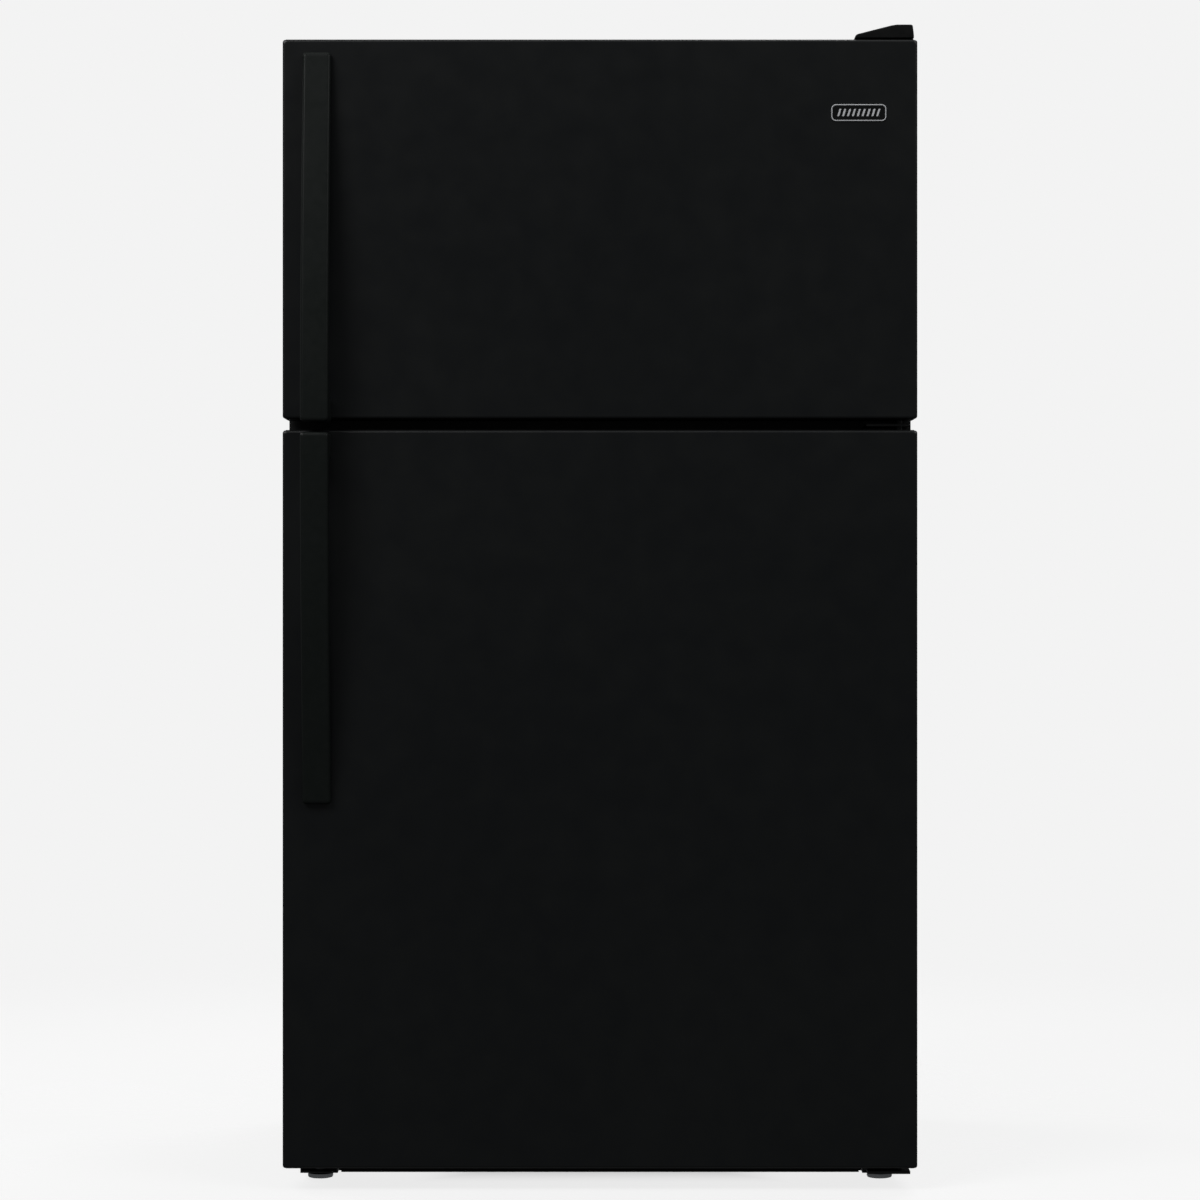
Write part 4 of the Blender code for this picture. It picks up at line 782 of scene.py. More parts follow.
def make_dairy_compartment():
    low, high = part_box("dairy_compartment")
    rim_z = 0.810
    bm = bmesh.new()
    tray(bm, low, (high.x, high.y, rim_z), 0.0023, 0.008, 0.002)
    for x in (low.x, high.x - 0.0025):
        prism(bm, [(low.y, rim_z - 0.006), (-0.240, rim_z - 0.006), (-0.243, high.z - 0.002),
                   (-0.247, high.z), (-0.257, high.z), (low.y, high.z - 0.003)], "X", x, x + 0.0025, 0.0005)
    piece("dairy_compartment_tub", MOULDED_WHITE, "dairy_compartment", bm)

    low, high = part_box("dairy_lid")
    pivot_y, pivot_z = -0.252, 0.815
    left, right = low.x + 0.0026, high.x - 0.0026
    front = high.y
    wall = 0.0024
    outline = [(pivot_y - 0.003, pivot_z - 0.0018), (front - 0.009, pivot_z - 0.0018),
               (front - wall - 0.0015, pivot_z - 0.004), (front - wall, pivot_z - 0.010),
               (front - wall, low.z), (front, low.z), (front, pivot_z - 0.010),
               (front - 0.0012, pivot_z - 0.0035), (front - 0.0045, pivot_z - 0.0005),
               (front - 0.010, pivot_z + 0.0006), (pivot_y - 0.003, pivot_z + 0.0006)]
    bm = bmesh.new()
    prism(bm, outline, "X", left, right, 0.0006, 2, 50)
    lathe(bm, [(0.0030, 0.0), (0.0039, 0.001), (0.0039, right - left - 0.001), (0.0030, right - left)],
          (left, pivot_y, pivot_z), "X", 20)
    rod(bm, (low.x, pivot_y, pivot_z), (high.x, pivot_y, pivot_z), 0.0019)
    middle = (left + right) / 2
    box(bm, (middle - 0.045, front - 0.0005, low.z + 0.003),
        (middle + 0.045, front + 0.0022, low.z + 0.0065), 0.001, 3)
    piece("dairy_lid_cover", CLEAR_PLASTIC, "dairy_lid", bm)


def make_doors():
    make_handle("freezer_door_handle", True)
    make_handle("fridge_door_handle", False)
    make_badge()
    bins = {"freezer_door": ["freezer_door_bin_lower", "freezer_door_bin_upper"],
            "fridge_door": ["door_bin_lower", "door_bin_middle", "door_bin_upper"]}
    for door in DOORS:
        make_door_skin(door)
        make_door_foam(door)
        make_seal(door)
        bm = make_door_liner(door)
        make_bin_lugs(bm, bins[door])
        if door == "fridge_door":
            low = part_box("dairy_compartment")[0]
            box(bm, (low.x - 0.002, low.y, low.z - 0.0165), (low.x + 0.012, LUG_FRONT, low.z - 0.0005),
                0.002, 3)
        piece(door + "_inner_liner", LINER_WHITE, door + "_liner", bm)
        for node in bins[door]:
            make_bin(node, CLEAR_PLASTIC, 7 if node == "door_bin_upper" else 13)
    make_dairy_compartment()


# ---------------------------------------------------------------- cabinet

FLANGE = 0.045
SHEET = 0.0012


def make_wrapper():
    """The painted sheet that folds over the top and sides and turns in round the front."""
    low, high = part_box("outer_wrapper")
    radius = 0.006
    steps = 5

    def arch(inset):
        turn_in = radius - inset
        points = [(low.x + inset, low.z)]
        for centre_x, quarter in ((low.x + radius, 2), (high.x - radius, 1)):
            for step in range(steps + 1):
                angle = (quarter - step / steps) * math.pi / 2
                points.append((centre_x + turn_in * math.cos(angle),
                               high.z - radius + turn_in * math.sin(angle)))
        return points + [(high.x - inset, low.z)]

    bm = bmesh.new()
    prism(bm, arch(0.0) + arch(SHEET)[::-1], "Y", low.y + SHEET * 0.8, high.y, 0.0)
    back = low.y + SHEET
    corners = ((low.x, low.z), (high.x, high.z))
    rim = [(back, 0.0), (low.y + 0.0006, 0.0), (low.y, 0.0006), (low.y, FLANGE - 0.0006),
           (low.y + 0.0006, FLANGE), (back, FLANGE)]
    loft(bm, [ring_of_points("Y", y, *corners, inset, max(radius - inset, 0.002)) for y, inset in rim],
         cyclic=True)
    piece("cabinet_wrapper", CABINET_ENAMEL, "outer_wrapper", bm)
    piece("mullion_strip", CABINET_ENAMEL, "mullion_rail", copy_of("mullion_rail", 0.0004))


def make_rear_panel():
    """The rear sheet with its stiffening beads and the row of screws round it."""
    low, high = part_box("rear_panel")
    bm = bmesh.new()
    box(bm, low, high)
    beads = 5
    height = high.z - low.z
    for i in range(beads):
        z = low.z + height * (i + 0.5) / beads
        loft(bm,
             [ring_of_points("Y", y, (low.x + 0.060, z - 0.018), (high.x - 0.060, z + 0.018), inset,
                             0.018 - inset, 8) for y,
              inset in ((high.y - 0.0004, 0.0), (high.y + 0.0008, 0.0012), (high.y + 0.0018, 0.0045),
                        (high.y + 0.0018, 0.0135), (high.y + 0.0006, 0.0165))])
    piece("rear_sheet", ZINC_SHEET, "rear_panel", bm)
    edge = 0.012
    points = []
    for i in range(8):
        z = low.z + edge + (height - 2 * edge) * i / 7
        points += [(low.x + edge, high.y, z), (high.x - edge, high.y, z)]
    for i in range(1, 5):
        x = low.x + edge + (high.x - low.x - 2 * edge) * i / 5
        points += [(x, high.y, low.z + edge), (x, high.y, high.z - edge)]
    screws("rear_sheet_screws", "rear_panel", points, 0.0052, FACE_BACK)


def make_rear_access_cover():
    """The cover of the machine compartment, with a hood over each louvre slot."""
    node = "rear_access_cover"
    low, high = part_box(node)
    piece("machine_cover", ZINC_SHEET, node, copy_of(node, 0.0))
    reach = 0.250
    slot_high = 0.008
    first_z = 0.085
    for name, x0 in (("right", -0.330), ("left", 0.080)):
        bm = bmesh.new()
        z = first_z + slot_high
        hood = [(high.y - 0.0006, z + 0.0010), (high.y + 0.0010, z + 0.0010), (high.y + 0.0042, z - 0.0030),
                (high.y + 0.0046, z - 0.0070), (high.y + 0.0038, z - 0.0070), (high.y + 0.0034, z - 0.0034),
                (high.y + 0.0006, z), (high.y - 0.0006, z)]
        prism(bm, hood, "X", x0, x0 + reach, 0.0, 1)
        for x in (x0, x0 + reach - 0.0010):
            prism(bm, [(high.y - 0.0004, z + 0.0008), (high.y + 0.0010, z + 0.0008),
                       (high.y + 0.0044, z - 0.0030), (high.y + 0.0044, z - 0.0070),
                       (high.y - 0.0004, z - 0.0085)], "X", x, x + 0.0010)
        grown(f"machine_cover_hoods_{name}", ZINC_SHEET, node, bm, ROWS, Count=5, Step=(0.0, 0.0, 0.030))
    edge = 0.012
    points = [(x, high.y, z) for z in (low.z + edge, high.z - edge)
              for x in (low.x + edge, -0.14, 0.14, high.x - edge)]
    screws("machine_cover_screws", node, points, 0.0052, FACE_BACK)
    low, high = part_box("cord_gland")
    middle = (low.x + high.x) / 2
    height = (low.z + high.z) / 2
    bm = bmesh.new()
    lathe(bm, [(0.0040, 0.0), (0.0086, 0.0), (0.0090, 0.0030), (0.0128, 0.0034), (0.0128, 0.0066),
               (0.0090, 0.0070), (0.0090, 0.0088), (0.0112, 0.0094), (0.0116, 0.0106), (0.0070, 0.0118),
               (0.0044, 0.0112), (0.0040, 0.0095), (0.0020, 0.0080)], (middle, low.y, height), "Y", 32)
    piece("cord_bushing", RUBBER, "cord_gland", bm)


def make_base():
    """The rails, the toe grille, the threaded legs and the rollers."""
    piece("base_rails", BLACK_STEEL, "base_frame", copy_of("base_frame", 0.0004))
    piece("base_step_sheet", ZINC_SHEET, "base_deck", copy_of("base_deck", 0.0004, 1))
    piece("toe_grille_bars", TRIM_PLASTIC, "toe_grille", copy_of("toe_grille", 0.0006))
    # A dark sheet behind the grille slots, painted shade: it stands in for the shade under the cabinet that
    # the glowing floor would otherwise fill.
    bm = bmesh.new()
    prism(bm, [(-0.2320, 0.0130), (-0.2305, 0.0130), (-0.2305, 0.0405), (-0.2150, 0.0405),
               (-0.2150, 0.0420), (-0.2320, 0.0420)], "X", -0.349, 0.349)
    piece("toe_shade_sheet", TRIM_PLASTIC, "toe_grille", bm, False)
    for side in ("left", "right"):
        node = "leveling_leg_" + side
        low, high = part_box(node)
        x, y = (low.x + high.x) / 2, (low.y + high.y) / 2
        bm = bmesh.new()
        lathe(bm, [(0.0130, 0.0), (0.0160, 0.0008), (0.0170, 0.0030), (0.0168, 0.0060), (0.0140, 0.0078),
                   (0.0070, 0.0085), (0.0046, 0.0090), (0.0046, high.z - 0.0008), (0.0038, high.z)],
              (x, y, 0.0), "Z", 36)
        lathe(bm, [(0.0085, 0.0084), (0.0090, 0.0090), (0.0090, 0.0124), (0.0082, 0.0130)], (x, y, 0.0),
              "Z", 6)
        piece(node + "_foot", PLATED_STEEL, node, bm)
        bm = bmesh.new()
        lathe(bm, [(0.0044, -0.0005), (0.0050, 0.0), (0.0044, 0.0005)], (x, y, 0.0145), "Z", 20)
        grown(node + "_thread", PLATED_STEEL, node, bm, ROWS, Count=23, Step=(0.0, 0.0, 0.00125))
        node = "rear_roller_" + side
        low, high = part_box(node)
        centre = (low + high) / 2
        r = (high.z - low.z) / 2
        bm = bmesh.new()
        lathe(bm, [(0.0036, -0.0082), (0.0100, -0.0082), (0.0110, -0.0066), (0.0145, -0.0066),
                   (0.0155, -0.0080), (r - 0.0012, -0.0080), (r, -0.0066), (r, 0.0066),
                   (r - 0.0012, 0.0080), (0.0155, 0.0080), (0.0145, 0.0066), (0.0110, 0.0066),
                   (0.0100, 0.0082), (0.0036, 0.0082)], centre, "X", 40)
        piece(node + "_wheel", MOULDED_GREY, node, bm)
        bm = bmesh.new()
        rod(bm, (low.x, centre.y, centre.z), (high.x, centre.y, centre.z), 0.003, 20)
        piece(node + "_axle", PLATED_STEEL, node, bm, False)


def make_liners():
    """The two moulded cavities with their round corners, wall ledges and front lips."""
    cavities = {
        # liner: cavity's height, its step at the back, the lip's height, ledges for shelves
        "freezer_liner": ((1.042, 1.456), None, (1.012, 1.480), [(1.240, -0.130, 0.200)]),
        "fridge_liner": ((0.100, 0.964), (0.140, 0.327), (0.080, 0.990),
                         [(0.490, -0.135, 0.290), (0.655, -0.135, 0.290)]),
    }
    half = 0.363
    corner = 0.014
    for node, (cavity, step, lip, ledges) in cavities.items():
        low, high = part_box(node)
        front = low.y
        back = high.y - 0.002
        outline = [(front, cavity[0]), (back, cavity[0]), (back, cavity[1]), (front, cavity[1])]
        if step:
            outline[1:2] = [(step[0], cavity[0]), (step[0], step[1]), (back, step[1])]
        bm = bmesh.new()
        prism(bm, outline, "X", -half, half)

        def in_front(edge):
            return all(abs(v.co.y - front) < 0.00001 for v in edge.verts)

        round_off(bm, corner, 5, keep=in_front)
        openings = [f for f in bm.faces if all(abs(v.co.y - front) < 0.00001 for v in f.verts)]
        bmesh.ops.delete(bm, geom=openings, context="FACES_ONLY")
        bmesh.ops.reverse_faces(bm, faces=bm.faces)
        rim = [e for e in bm.edges if e.is_boundary]
        grown_rim = bmesh.ops.extrude_edge_only(bm, edges=rim)["geom"]
        middle = (cavity[0] + cavity[1]) / 2
        for vert in (v for v in grown_rim if isinstance(v, bmesh.types.BMVert)):
            vert.co.x *= high.x / half
            over = vert.co.z > middle
            reach = ((lip[1] - middle) / (cavity[1] - middle) if over
                     else (middle - lip[0]) / (middle - cavity[0]))
            vert.co.z = middle + (vert.co.z - middle) * reach
        bm = thickened(bm, 0.0018)
        for shelf_z, near, far in ledges:
            for side in (-1, 1):
                a, b = sorted((side * (half + 0.001), side * (half - 0.010)))
                box(bm, (a, near, shelf_z - 0.0103), (b, far, shelf_z - 0.0003), 0.003, 3)
        if step:
            switch_low, switch_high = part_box("light_switch")
            x = (switch_low.x + switch_high.x) / 2
            z = (switch_low.z + switch_high.z) / 2
            loops = [ring_of_points("Y", y, (x - 0.0145, z - 0.0145), (x + 0.0145, cavity[1] + 0.001),
                                    inset, 0.003) for y,
                     inset in ((-0.2150 + 0.0008, 0.0), (-0.2150, 0.0008), (-0.2150, 0.0090),
                               (-0.2090, 0.0094))]
            loft(bm,
                 [ring_of_points("Y", -0.150, (x - 0.0145, z - 0.0145), (x + 0.0145, cavity[1] + 0.001),
                                 0.0, 0.003)] + loops)
        piece(node + "_shell", LINER_WHITE, node, bm, angle=40)


# ---------------------------------------------------------------- inside

def make_shelf_set():
    """The glass shelves and the crisper cover: a pane in a moulded frame."""
    for node in ("fridge_shelf_lower", "fridge_shelf_upper", "crisper_cover"):
        low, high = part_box(node)
        cover = node == "crisper_cover"
        pane_z = 0.332 if cover else low.z + 0.009
        thick = 0.006 if cover else 0.005
        front, back = low.y, high.y
        edge = 0.016
        bm = bmesh.new()
        box(bm, (low.x + edge - 0.004, front + edge - 0.004, pane_z + 0.0008),
            (high.x - edge + 0.004, back - edge + 0.004, pane_z + thick - 0.0006), 0.0006)
        piece(node + "_pane", SHELF_GLASS, node, bm, False)
        bm = bmesh.new()
        nose_low = low.z if not cover else pane_z - 0.006
        nose_high = pane_z + 0.008 if not cover else pane_z + 0.009
        inset = 0.0 if cover else 0.012
        nose = [(front + 0.003, nose_low), (front + 0.0012, nose_low + 0.0012), (front, nose_low + 0.005),
                (front, nose_high - 0.005), (front + 0.0015, nose_high - 0.0015),
                (front + 0.005, nose_high), (front + 0.009, nose_high - 0.001),
                (front + edge - 0.001, pane_z + thick), (front + edge, pane_z + thick - 0.001),
                (front + edge, pane_z), (front + 0.006, pane_z), (front + 0.005, nose_low)]
        prism(bm, nose, "X", low.x + inset, high.x - inset, 0.0005, 1, 60)
        for x0, x1 in ((low.x, low.x + edge), (high.x - edge, high.x)):
            box(bm, (x0, front + 0.006, pane_z), (x1, back - 0.002, pane_z + thick), 0.0012, 2)
        box(bm, (low.x + 0.010, back - 0.014, pane_z + 0.0002), (high.x - 0.010, back, pane_z + thick),
            0.0012, 2)
        if not cover:
            box(bm, (low.x + 0.014, back - 0.0045, pane_z + 0.001), (high.x - 0.014, back - 0.0005, high.z),
                0.0012, 3)
        else:
            divider_low = 0.1003
            box(bm, (-0.004, front + 0.006, divider_low), (0.004, 0.135, pane_z + 0.002), 0.0015, 3)
            box(bm, (low.x + 0.002, 0.290, 0.3275), (high.x - 0.002, 0.305, pane_z + 0.003), 0.002, 3)
        piece(node + "_frame", MOULDED_WHITE, node, bm)


def make_crispers():
    """Clear drawers with a fascia, a finger ledge and ribs pressed in their floors."""
    for node in ("crisper_left", "crisper_right"):
        low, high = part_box(node)
        front = low.y
        middle = (low.x + high.x) / 2
        bm = bmesh.new()
        tray(bm, (low.x, front + 0.010, low.z), high, 0.0024, 0.010, 0.0, 0.0, 0.005, 0.006)
        fascia = [(front + 0.0105, 0.250), (front + 0.0060, 0.256), (front + 0.0010, 0.2615),
                  (front, 0.2635), (front, 0.2755), (front + 0.0012, 0.2775), (front + 0.0030, 0.2780),
                  (front + 0.0040, 0.2765), (front + 0.0040, 0.2680), (front + 0.0105, 0.2650)]
        prism(bm, fascia, "X", middle - 0.085, middle + 0.085, 0.0006, 1, 60)
        box(bm, (low.x + 0.001, front + 0.006, 0.294), (high.x - 0.001, front + 0.0115, high.z - 0.0005),
            0.002, 3)
        piece(node + "_drawer", CLEAR_PLASTIC, node, bm)
        bm = bmesh.new()
        box(bm, (low.x + 0.040, front + 0.050, low.z + 0.0020),
            (low.x + 0.043, high.y - 0.030, low.z + 0.0042), 0.0008)
        grown(node + "_floor_ribs", CLEAR_PLASTIC, node, bm, ROWS, Count=8, Step=(0.0373, 0.0, 0.0))


def make_controls():
    """The control box with its dial marks, knob, slider, lamp and light switch."""
    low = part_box("control_housing")[0]
    bm = copy_of("control_housing", 0.0008)
    piece("control_box", MOULDED_WHITE, "control_housing", bm)
    knob_low, knob_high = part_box("temperature_knob")
    centre = (knob_low + knob_high) / 2
    face = low.y
    bm = bmesh.new()
    box(bm, (centre.x - 0.0006, face - 0.0003, centre.z + 0.0240),
        (centre.x + 0.0006, face + 0.0003, centre.z + 0.0262), 0.0001, 1)
    for turn in (-135, -90, -45, 45, 90, 135):
        place = (Matrix.Translation((centre.x, 0, centre.z)) @ Matrix.Rotation(math.radians(turn), 4, "Y")
                 @ Matrix.Translation((-centre.x, 0, -centre.z)))
        tick = bmesh.new()
        box(tick, (centre.x - 0.0006, face - 0.0003, centre.z + 0.0235),
            (centre.x + 0.0006, face + 0.0003, centre.z + 0.0262))
        tick.transform(place)
        merge(bm, tick)
    tab_low, tab_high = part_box("freezer_airflow_slider")
    x = (tab_low.x + tab_high.x) / 2
    prism(bm, [(x - 0.028, centre.z - 0.016), (x + 0.028, centre.z - 0.016), (x + 0.028, centre.z - 0.012)],
          "Y", face - 0.0003, face + 0.0003)
    piece("control_box_marks", MARK_GREY, "control_housing", bm, False)
    bm = bmesh.new()
    box(bm, (x - 0.0405, face - 0.0003, centre.z + 0.0125), (x - 0.0397, face + 0.0003, centre.z + 0.0165))
    grown("control_box_scale", MARK_GREY, "control_housing", bm, ROWS, Count=5, Step=(0.020, 0.0, 0.0))

    back = knob_high.y - 0.0095
    bm = bmesh.new()
    depth = back - knob_low.y
    lathe(bm, [(0.0030, depth + 0.009), (0.0030, depth), (0.0200, depth), (0.0216, depth - 0.0008),
               (0.0214, depth - 0.0030), (0.0196, depth - 0.0100), (0.0186, depth - 0.0112),
               (0.0060, depth - 0.0112)], (centre.x, knob_low.y, centre.z), "Y", 48)
    grip = [(centre.x - 0.0034, centre.z - 0.016), (centre.x - 0.0016, centre.z - 0.0178),
            (centre.x + 0.0016, centre.z - 0.0178), (centre.x + 0.0034, centre.z - 0.016),
            (centre.x + 0.0030, centre.z + 0.0165), (centre.x, centre.z + 0.0180),
            (centre.x - 0.0030, centre.z + 0.0165)]
    prism(bm, grip, "Y", knob_low.y, back - 0.008, 0.0008, 3, 50)
    piece("temperature_dial", MOULDED_GREY, "temperature_knob", bm)
    bm = bmesh.new()
    box(bm, (centre.x + 0.0200, back - 0.0075, centre.z - 0.0007),
        (centre.x + 0.0213, back - 0.0012, centre.z + 0.0007), 0.0003, 1)
    grown("temperature_dial_grips", MOULDED_GREY, "temperature_knob", bm, WHEEL, Count=36,
          Axis=(0.0, 1.0, 0.0), Centre=(centre.x, 0.0, centre.z))
    bm = bmesh.new()
    box(bm, (centre.x - 0.0006, knob_low.y - 0.0001, centre.z + 0.004),
        (centre.x + 0.0006, knob_low.y + 0.0004, centre.z + 0.015))
    piece("temperature_dial_mark", MOULDED_WHITE, "temperature_knob", bm, False)

    bm = copy_of("freezer_airflow_slider", 0.0007)
    piece("airflow_tab", MOULDED_GREY, "freezer_airflow_slider", bm)
    bm = bmesh.new()
    box(bm, (x - 0.0052, tab_low.y - 0.0005, centre.z - 0.007),
        (x - 0.0044, tab_low.y + 0.0004, centre.z + 0.007), 0.0002, 1)
    grown("airflow_tab_ribs", MOULDED_GREY, "freezer_airflow_slider", bm, ROWS, Count=5,
          Step=(0.0024, 0.0, 0.0))

    low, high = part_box("lamp_cover")
    bm = bmesh.new()
    tray(bm, low, high, 0.0015, 0.010, 0.004, 0.0, 0.003, 0.008)
    piece("lamp_cup", FROSTED_PLASTIC, "lamp_cover", bm)
    bm = bmesh.new()
    box(bm, (low.x + 0.0100, low.y + 0.010, low.z - 0.0012),
        (low.x + 0.0116, high.y - 0.010, low.z + 0.0006), 0.0006, 2)
    grown("lamp_cup_ribs", FROSTED_PLASTIC, "lamp_cover", bm, ROWS, Count=17, Step=(0.00615, 0.0, 0.0))
    middle = (low + high) / 2
    bm = bmesh.new()
    lathe(bm, [(0.0, -0.028), (0.0070, -0.0265), (0.0120, -0.021), (0.0140, -0.013), (0.0125, -0.004),
               (0.0085, 0.004), (0.0075, 0.010), (0.0075, 0.022), (0.0, 0.022)],
          (middle.x, middle.y, middle.z + 0.001), "X", 28)
    piece("lamp_bulb", FROSTED_PLASTIC, "lamp_cover", bm, False)

    low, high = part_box("light_switch")
    bm = bmesh.new()
    middle = (low + high) / 2
    loft(bm, [ring_of_points("Y", y, (low.x, low.z), (high.x, high.z), inset, 0.002) for y, inset in
              ((low.y, 0.0018), (low.y + 0.0012, 0.0005), (low.y + 0.004, 0.0), (high.y, 0.0))])
    piece("light_switch_plunger", MOULDED_WHITE, "light_switch", bm)


def make_air_duct():
    node = "air_duct_cover"
    low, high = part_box(node)
    piece("air_duct_panel", MOULDED_WHITE, node, copy_of(node, 0.0012, 2))
    bm = bmesh.new()
    for z in (0.420, 0.560, 0.720, 0.860):
        for x in (-0.040, 0.040):
            box(bm, (x - 0.0245, low.y + 0.0002, z - 0.0008), (x + 0.0245, low.y + 0.0018, z + 0.0008),
                0.0003, 1)
    piece("air_duct_slats", MOULDED_WHITE, node, bm, False)
    bm = bmesh.new()
    box(bm, (low.x + 0.012, low.y - 0.0010, low.z + 0.020),
        (low.x + 0.0145, low.y + 0.0006, high.z - 0.020), 0.0007)
    grown("air_duct_flutes", MOULDED_WHITE, node, bm, ROWS, Count=2, Step=(high.x - low.x - 0.0265, 0.0, 0.0))


def make_freezer_inside():
    """The evaporator behind its wall, the fan and its grille, the wire shelf and the ice bin."""
    node = "evaporator_cover"
    low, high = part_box(node)
    fan_low, fan_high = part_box("evaporator_fan")
    fan_middle = (fan_low + fan_high) / 2
    x, z = fan_middle.x, fan_middle.z
    bm = copy_of(node, 0.0)
    lathe(bm, [(0.0462, -0.0004), (0.0462, -0.0042), (0.0475, -0.0055), (0.0500, -0.0055),
               (0.0530, -0.0040), (0.0545, -0.0004)], (x, low.y, z), "Y", 48)
    piece("evaporator_wall", LINER_WHITE, node, bm)
    bm = bmesh.new()
    for radius in (0.0115, 0.0210, 0.0305, 0.0400):
        ring = [Vector((x + a, low.y - 0.0030, z + b)) for a, b in circle(0.0, 0.0, radius, 40)]
        inner = [Vector((x + a, low.y - 0.0030, z + b)) for a, b in circle(0.0, 0.0, radius - 0.0018, 40)]
        depth = Vector((0, 0.0022, 0))
        loft(bm, [ring, [p + depth for p in ring], [p + depth for p in inner], inner], cyclic=True)
    piece("fan_grille_rings", LINER_WHITE, node, bm, False)
    bm = bmesh.new()
    box(bm, (x + 0.0100, low.y - 0.0036, z - 0.0009), (x + 0.0470, low.y - 0.0004, z + 0.0009), 0.0004, 1)
    grown("fan_grille_spokes", LINER_WHITE, node, bm, WHEEL, Count=12, Axis=(0.0, 1.0, 0.0),
          Centre=(x, 0.0, z))
    bm = bmesh.new()
    box(bm, (low.x + 0.040, low.y - 0.0012, low.z + 0.040), (low.x + 0.0425, low.y + 0.0006, low.z + 0.270),
        0.0008)
    grown("evaporator_wall_flutes", LINER_WHITE, node, bm, ROWS, Count=14,
          Step=((high.x - low.x - 0.0825) / 13, 0.0, 0.0))
    points = [(a, low.y, b) for a in (low.x + 0.022, high.x - 0.022) for b in (low.z + 0.030, high.z - 0.030)]
    screws("evaporator_wall_screws", node, points, 0.0042, FACE_FRONT)

    node = "evaporator_coil"
    low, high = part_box(node)
    bm = bmesh.new()
    fins = 96
    box(bm, (low.x, low.y + 0.004, low.z), (low.x + 0.0004, high.y - 0.004, high.z))
    grown("evaporator_fins", FIN_ALUMINIUM, node, bm, ROWS, True, Count=fins,
          Step=((high.x - low.x) / fins, 0.0, 0.0))
    corners = []
    side = 0
    for column, y in enumerate((low.y + 0.014, high.y - 0.014)):
        heights = [low.z + 0.020 + 0.0308 * i for i in range(7)]
        for height in (heights if column == 0 else heights[::-1]):
            corners += [((low.x - 0.008, high.x + 0.008)[side], y, height),
                        ((low.x - 0.008, high.x + 0.008)[1 - side], y, height)]
            side = 1 - side
    grown("evaporator_tube", FIN_ALUMINIUM, node, path_of(rounded_path(corners, 0.012)), TUBE, Radius=0.004,
          Sides=12)

    make_fan("evaporator_fan", (0.0, 1.0, 0.0), 0.042, 0.014, 4, 24)
    piece("evaporator_motor", MOULDED_GREY, "evaporator_fan_motor", copy_of("evaporator_fan_motor", 0.0010))

    node = "freezer_shelf"
    low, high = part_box(node)
    top = 1.2450
    wire = 0.0017
    bars = 48
    rail = 0.0026
    left, right = low.x + 0.006, high.x - 0.006
    step = (right - left) / (bars - 1)
    bm = path_of(rounded_path([(left, high.y - 0.001, top - wire), (left, low.y + 0.0055, top - wire),
                               (left, low.y + 0.0025, low.z + 0.003)], 0.003, 3))
    grown("freezer_shelf_wires", WIRE_WHITE, node, bm, TUBE, True, Radius=wire, Sides=8)
    wires = bpy.data.objects["freezer_shelf_wires"]
    single = bmesh.new()
    single.from_mesh(wires.data)
    grown("freezer_shelf_wire_row", WIRE_WHITE, node, single, ROWS, Count=bars - 1,
          Step=(step, 0.0, 0.0)).data.transform(Matrix.Translation((step, 0.0, 0.0)))
    bm = bmesh.new()
    for y, height in ((low.y + rail, low.z + 0.0030), (low.y + 0.090, top - 2 * wire - rail),
                      (low.y + 0.220, top - 2 * wire - rail), (high.y - rail, top - wire)):
        rod(bm, (low.x, y, height), (high.x, y, height), rail, 14, 0.3)
    piece("freezer_shelf_rails", WIRE_WHITE, node, bm, False)

    low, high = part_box("ice_bin")
    bm = bmesh.new()
    tray(bm, low, high, 0.0023, 0.012, 0.005, 0.0030, 0.006)
    piece("ice_bin_tub", MOULDED_WHITE, "ice_bin", bm)
    bm = bmesh.new()
    middle = (low.x + high.x) / 2
    box(bm, (middle - 0.035, low.y - 0.0002, high.z - 0.0200),
        (middle + 0.035, low.y + 0.0040, high.z - 0.0150), 0.0015, 3)
    piece("ice_bin_grip", MOULDED_WHITE, "ice_bin", bm, False)


def make_fan(node, axis, radius, hub, blades, pitch):
    """Twisted, swept blades on a domed hub."""
    low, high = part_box(node)
    centre = (low + high) / 2
    turn = Vector((0, 0, 1)).rotation_difference(Vector(axis)).to_matrix().to_4x4()
    place = Matrix.Translation(centre) @ turn
    rows, columns = 8, 8
    bm = bmesh.new()
    grid = []
    for i in range(rows + 1):
        share = i / rows
        r = hub * 0.85 + (radius - hub * 0.85) * share
        sweep = math.radians(20 + 12 * share)
        tilt = math.radians(pitch) * (1.25 - 0.45 * share)
        line = []
        for j in range(columns + 1):
            a = sweep * (2 * j / columns - 1) + math.radians(14) * share * share
            lift = (r * math.sin(sweep * (2 * j / columns - 1)) * math.tan(tilt)
                    + 0.0012 * math.sin(math.pi * j / columns))
            line.append(bm.verts.new((r * math.cos(a), r * math.sin(a), lift * 0.55)))
        grid.append(line)
    for i in range(rows):
        for j in range(columns):
            bm.faces.new((grid[i][j], grid[i + 1][j], grid[i + 1][j + 1], grid[i][j + 1]))
    blade = thickened(bm, 0.0014)
    blade.transform(place)
    grown(node + "_blades", MOULDED_GREY, node, blade, WHEEL, True, 50, Count=blades, Axis=axis,
          Centre=tuple(centre))
    bm = bmesh.new()
    depth = 0.0075
    lathe(bm, [(0.0, -depth), (hub * 0.55, -depth), (hub * 0.90, -depth * 0.85), (hub, -depth * 0.5),
               (hub, depth * 0.8), (hub * 0.92, depth), (0.0035, depth), (0.0024, depth * 0.9),
               (0.0, depth * 0.9)], centre, "XYZ"[max(range(3), key=lambda i: axis[i])], 36)
    piece(node + "_hub", MOULDED_GREY, node, bm, False)


# ---------------------------------------------------------------- machine compartment

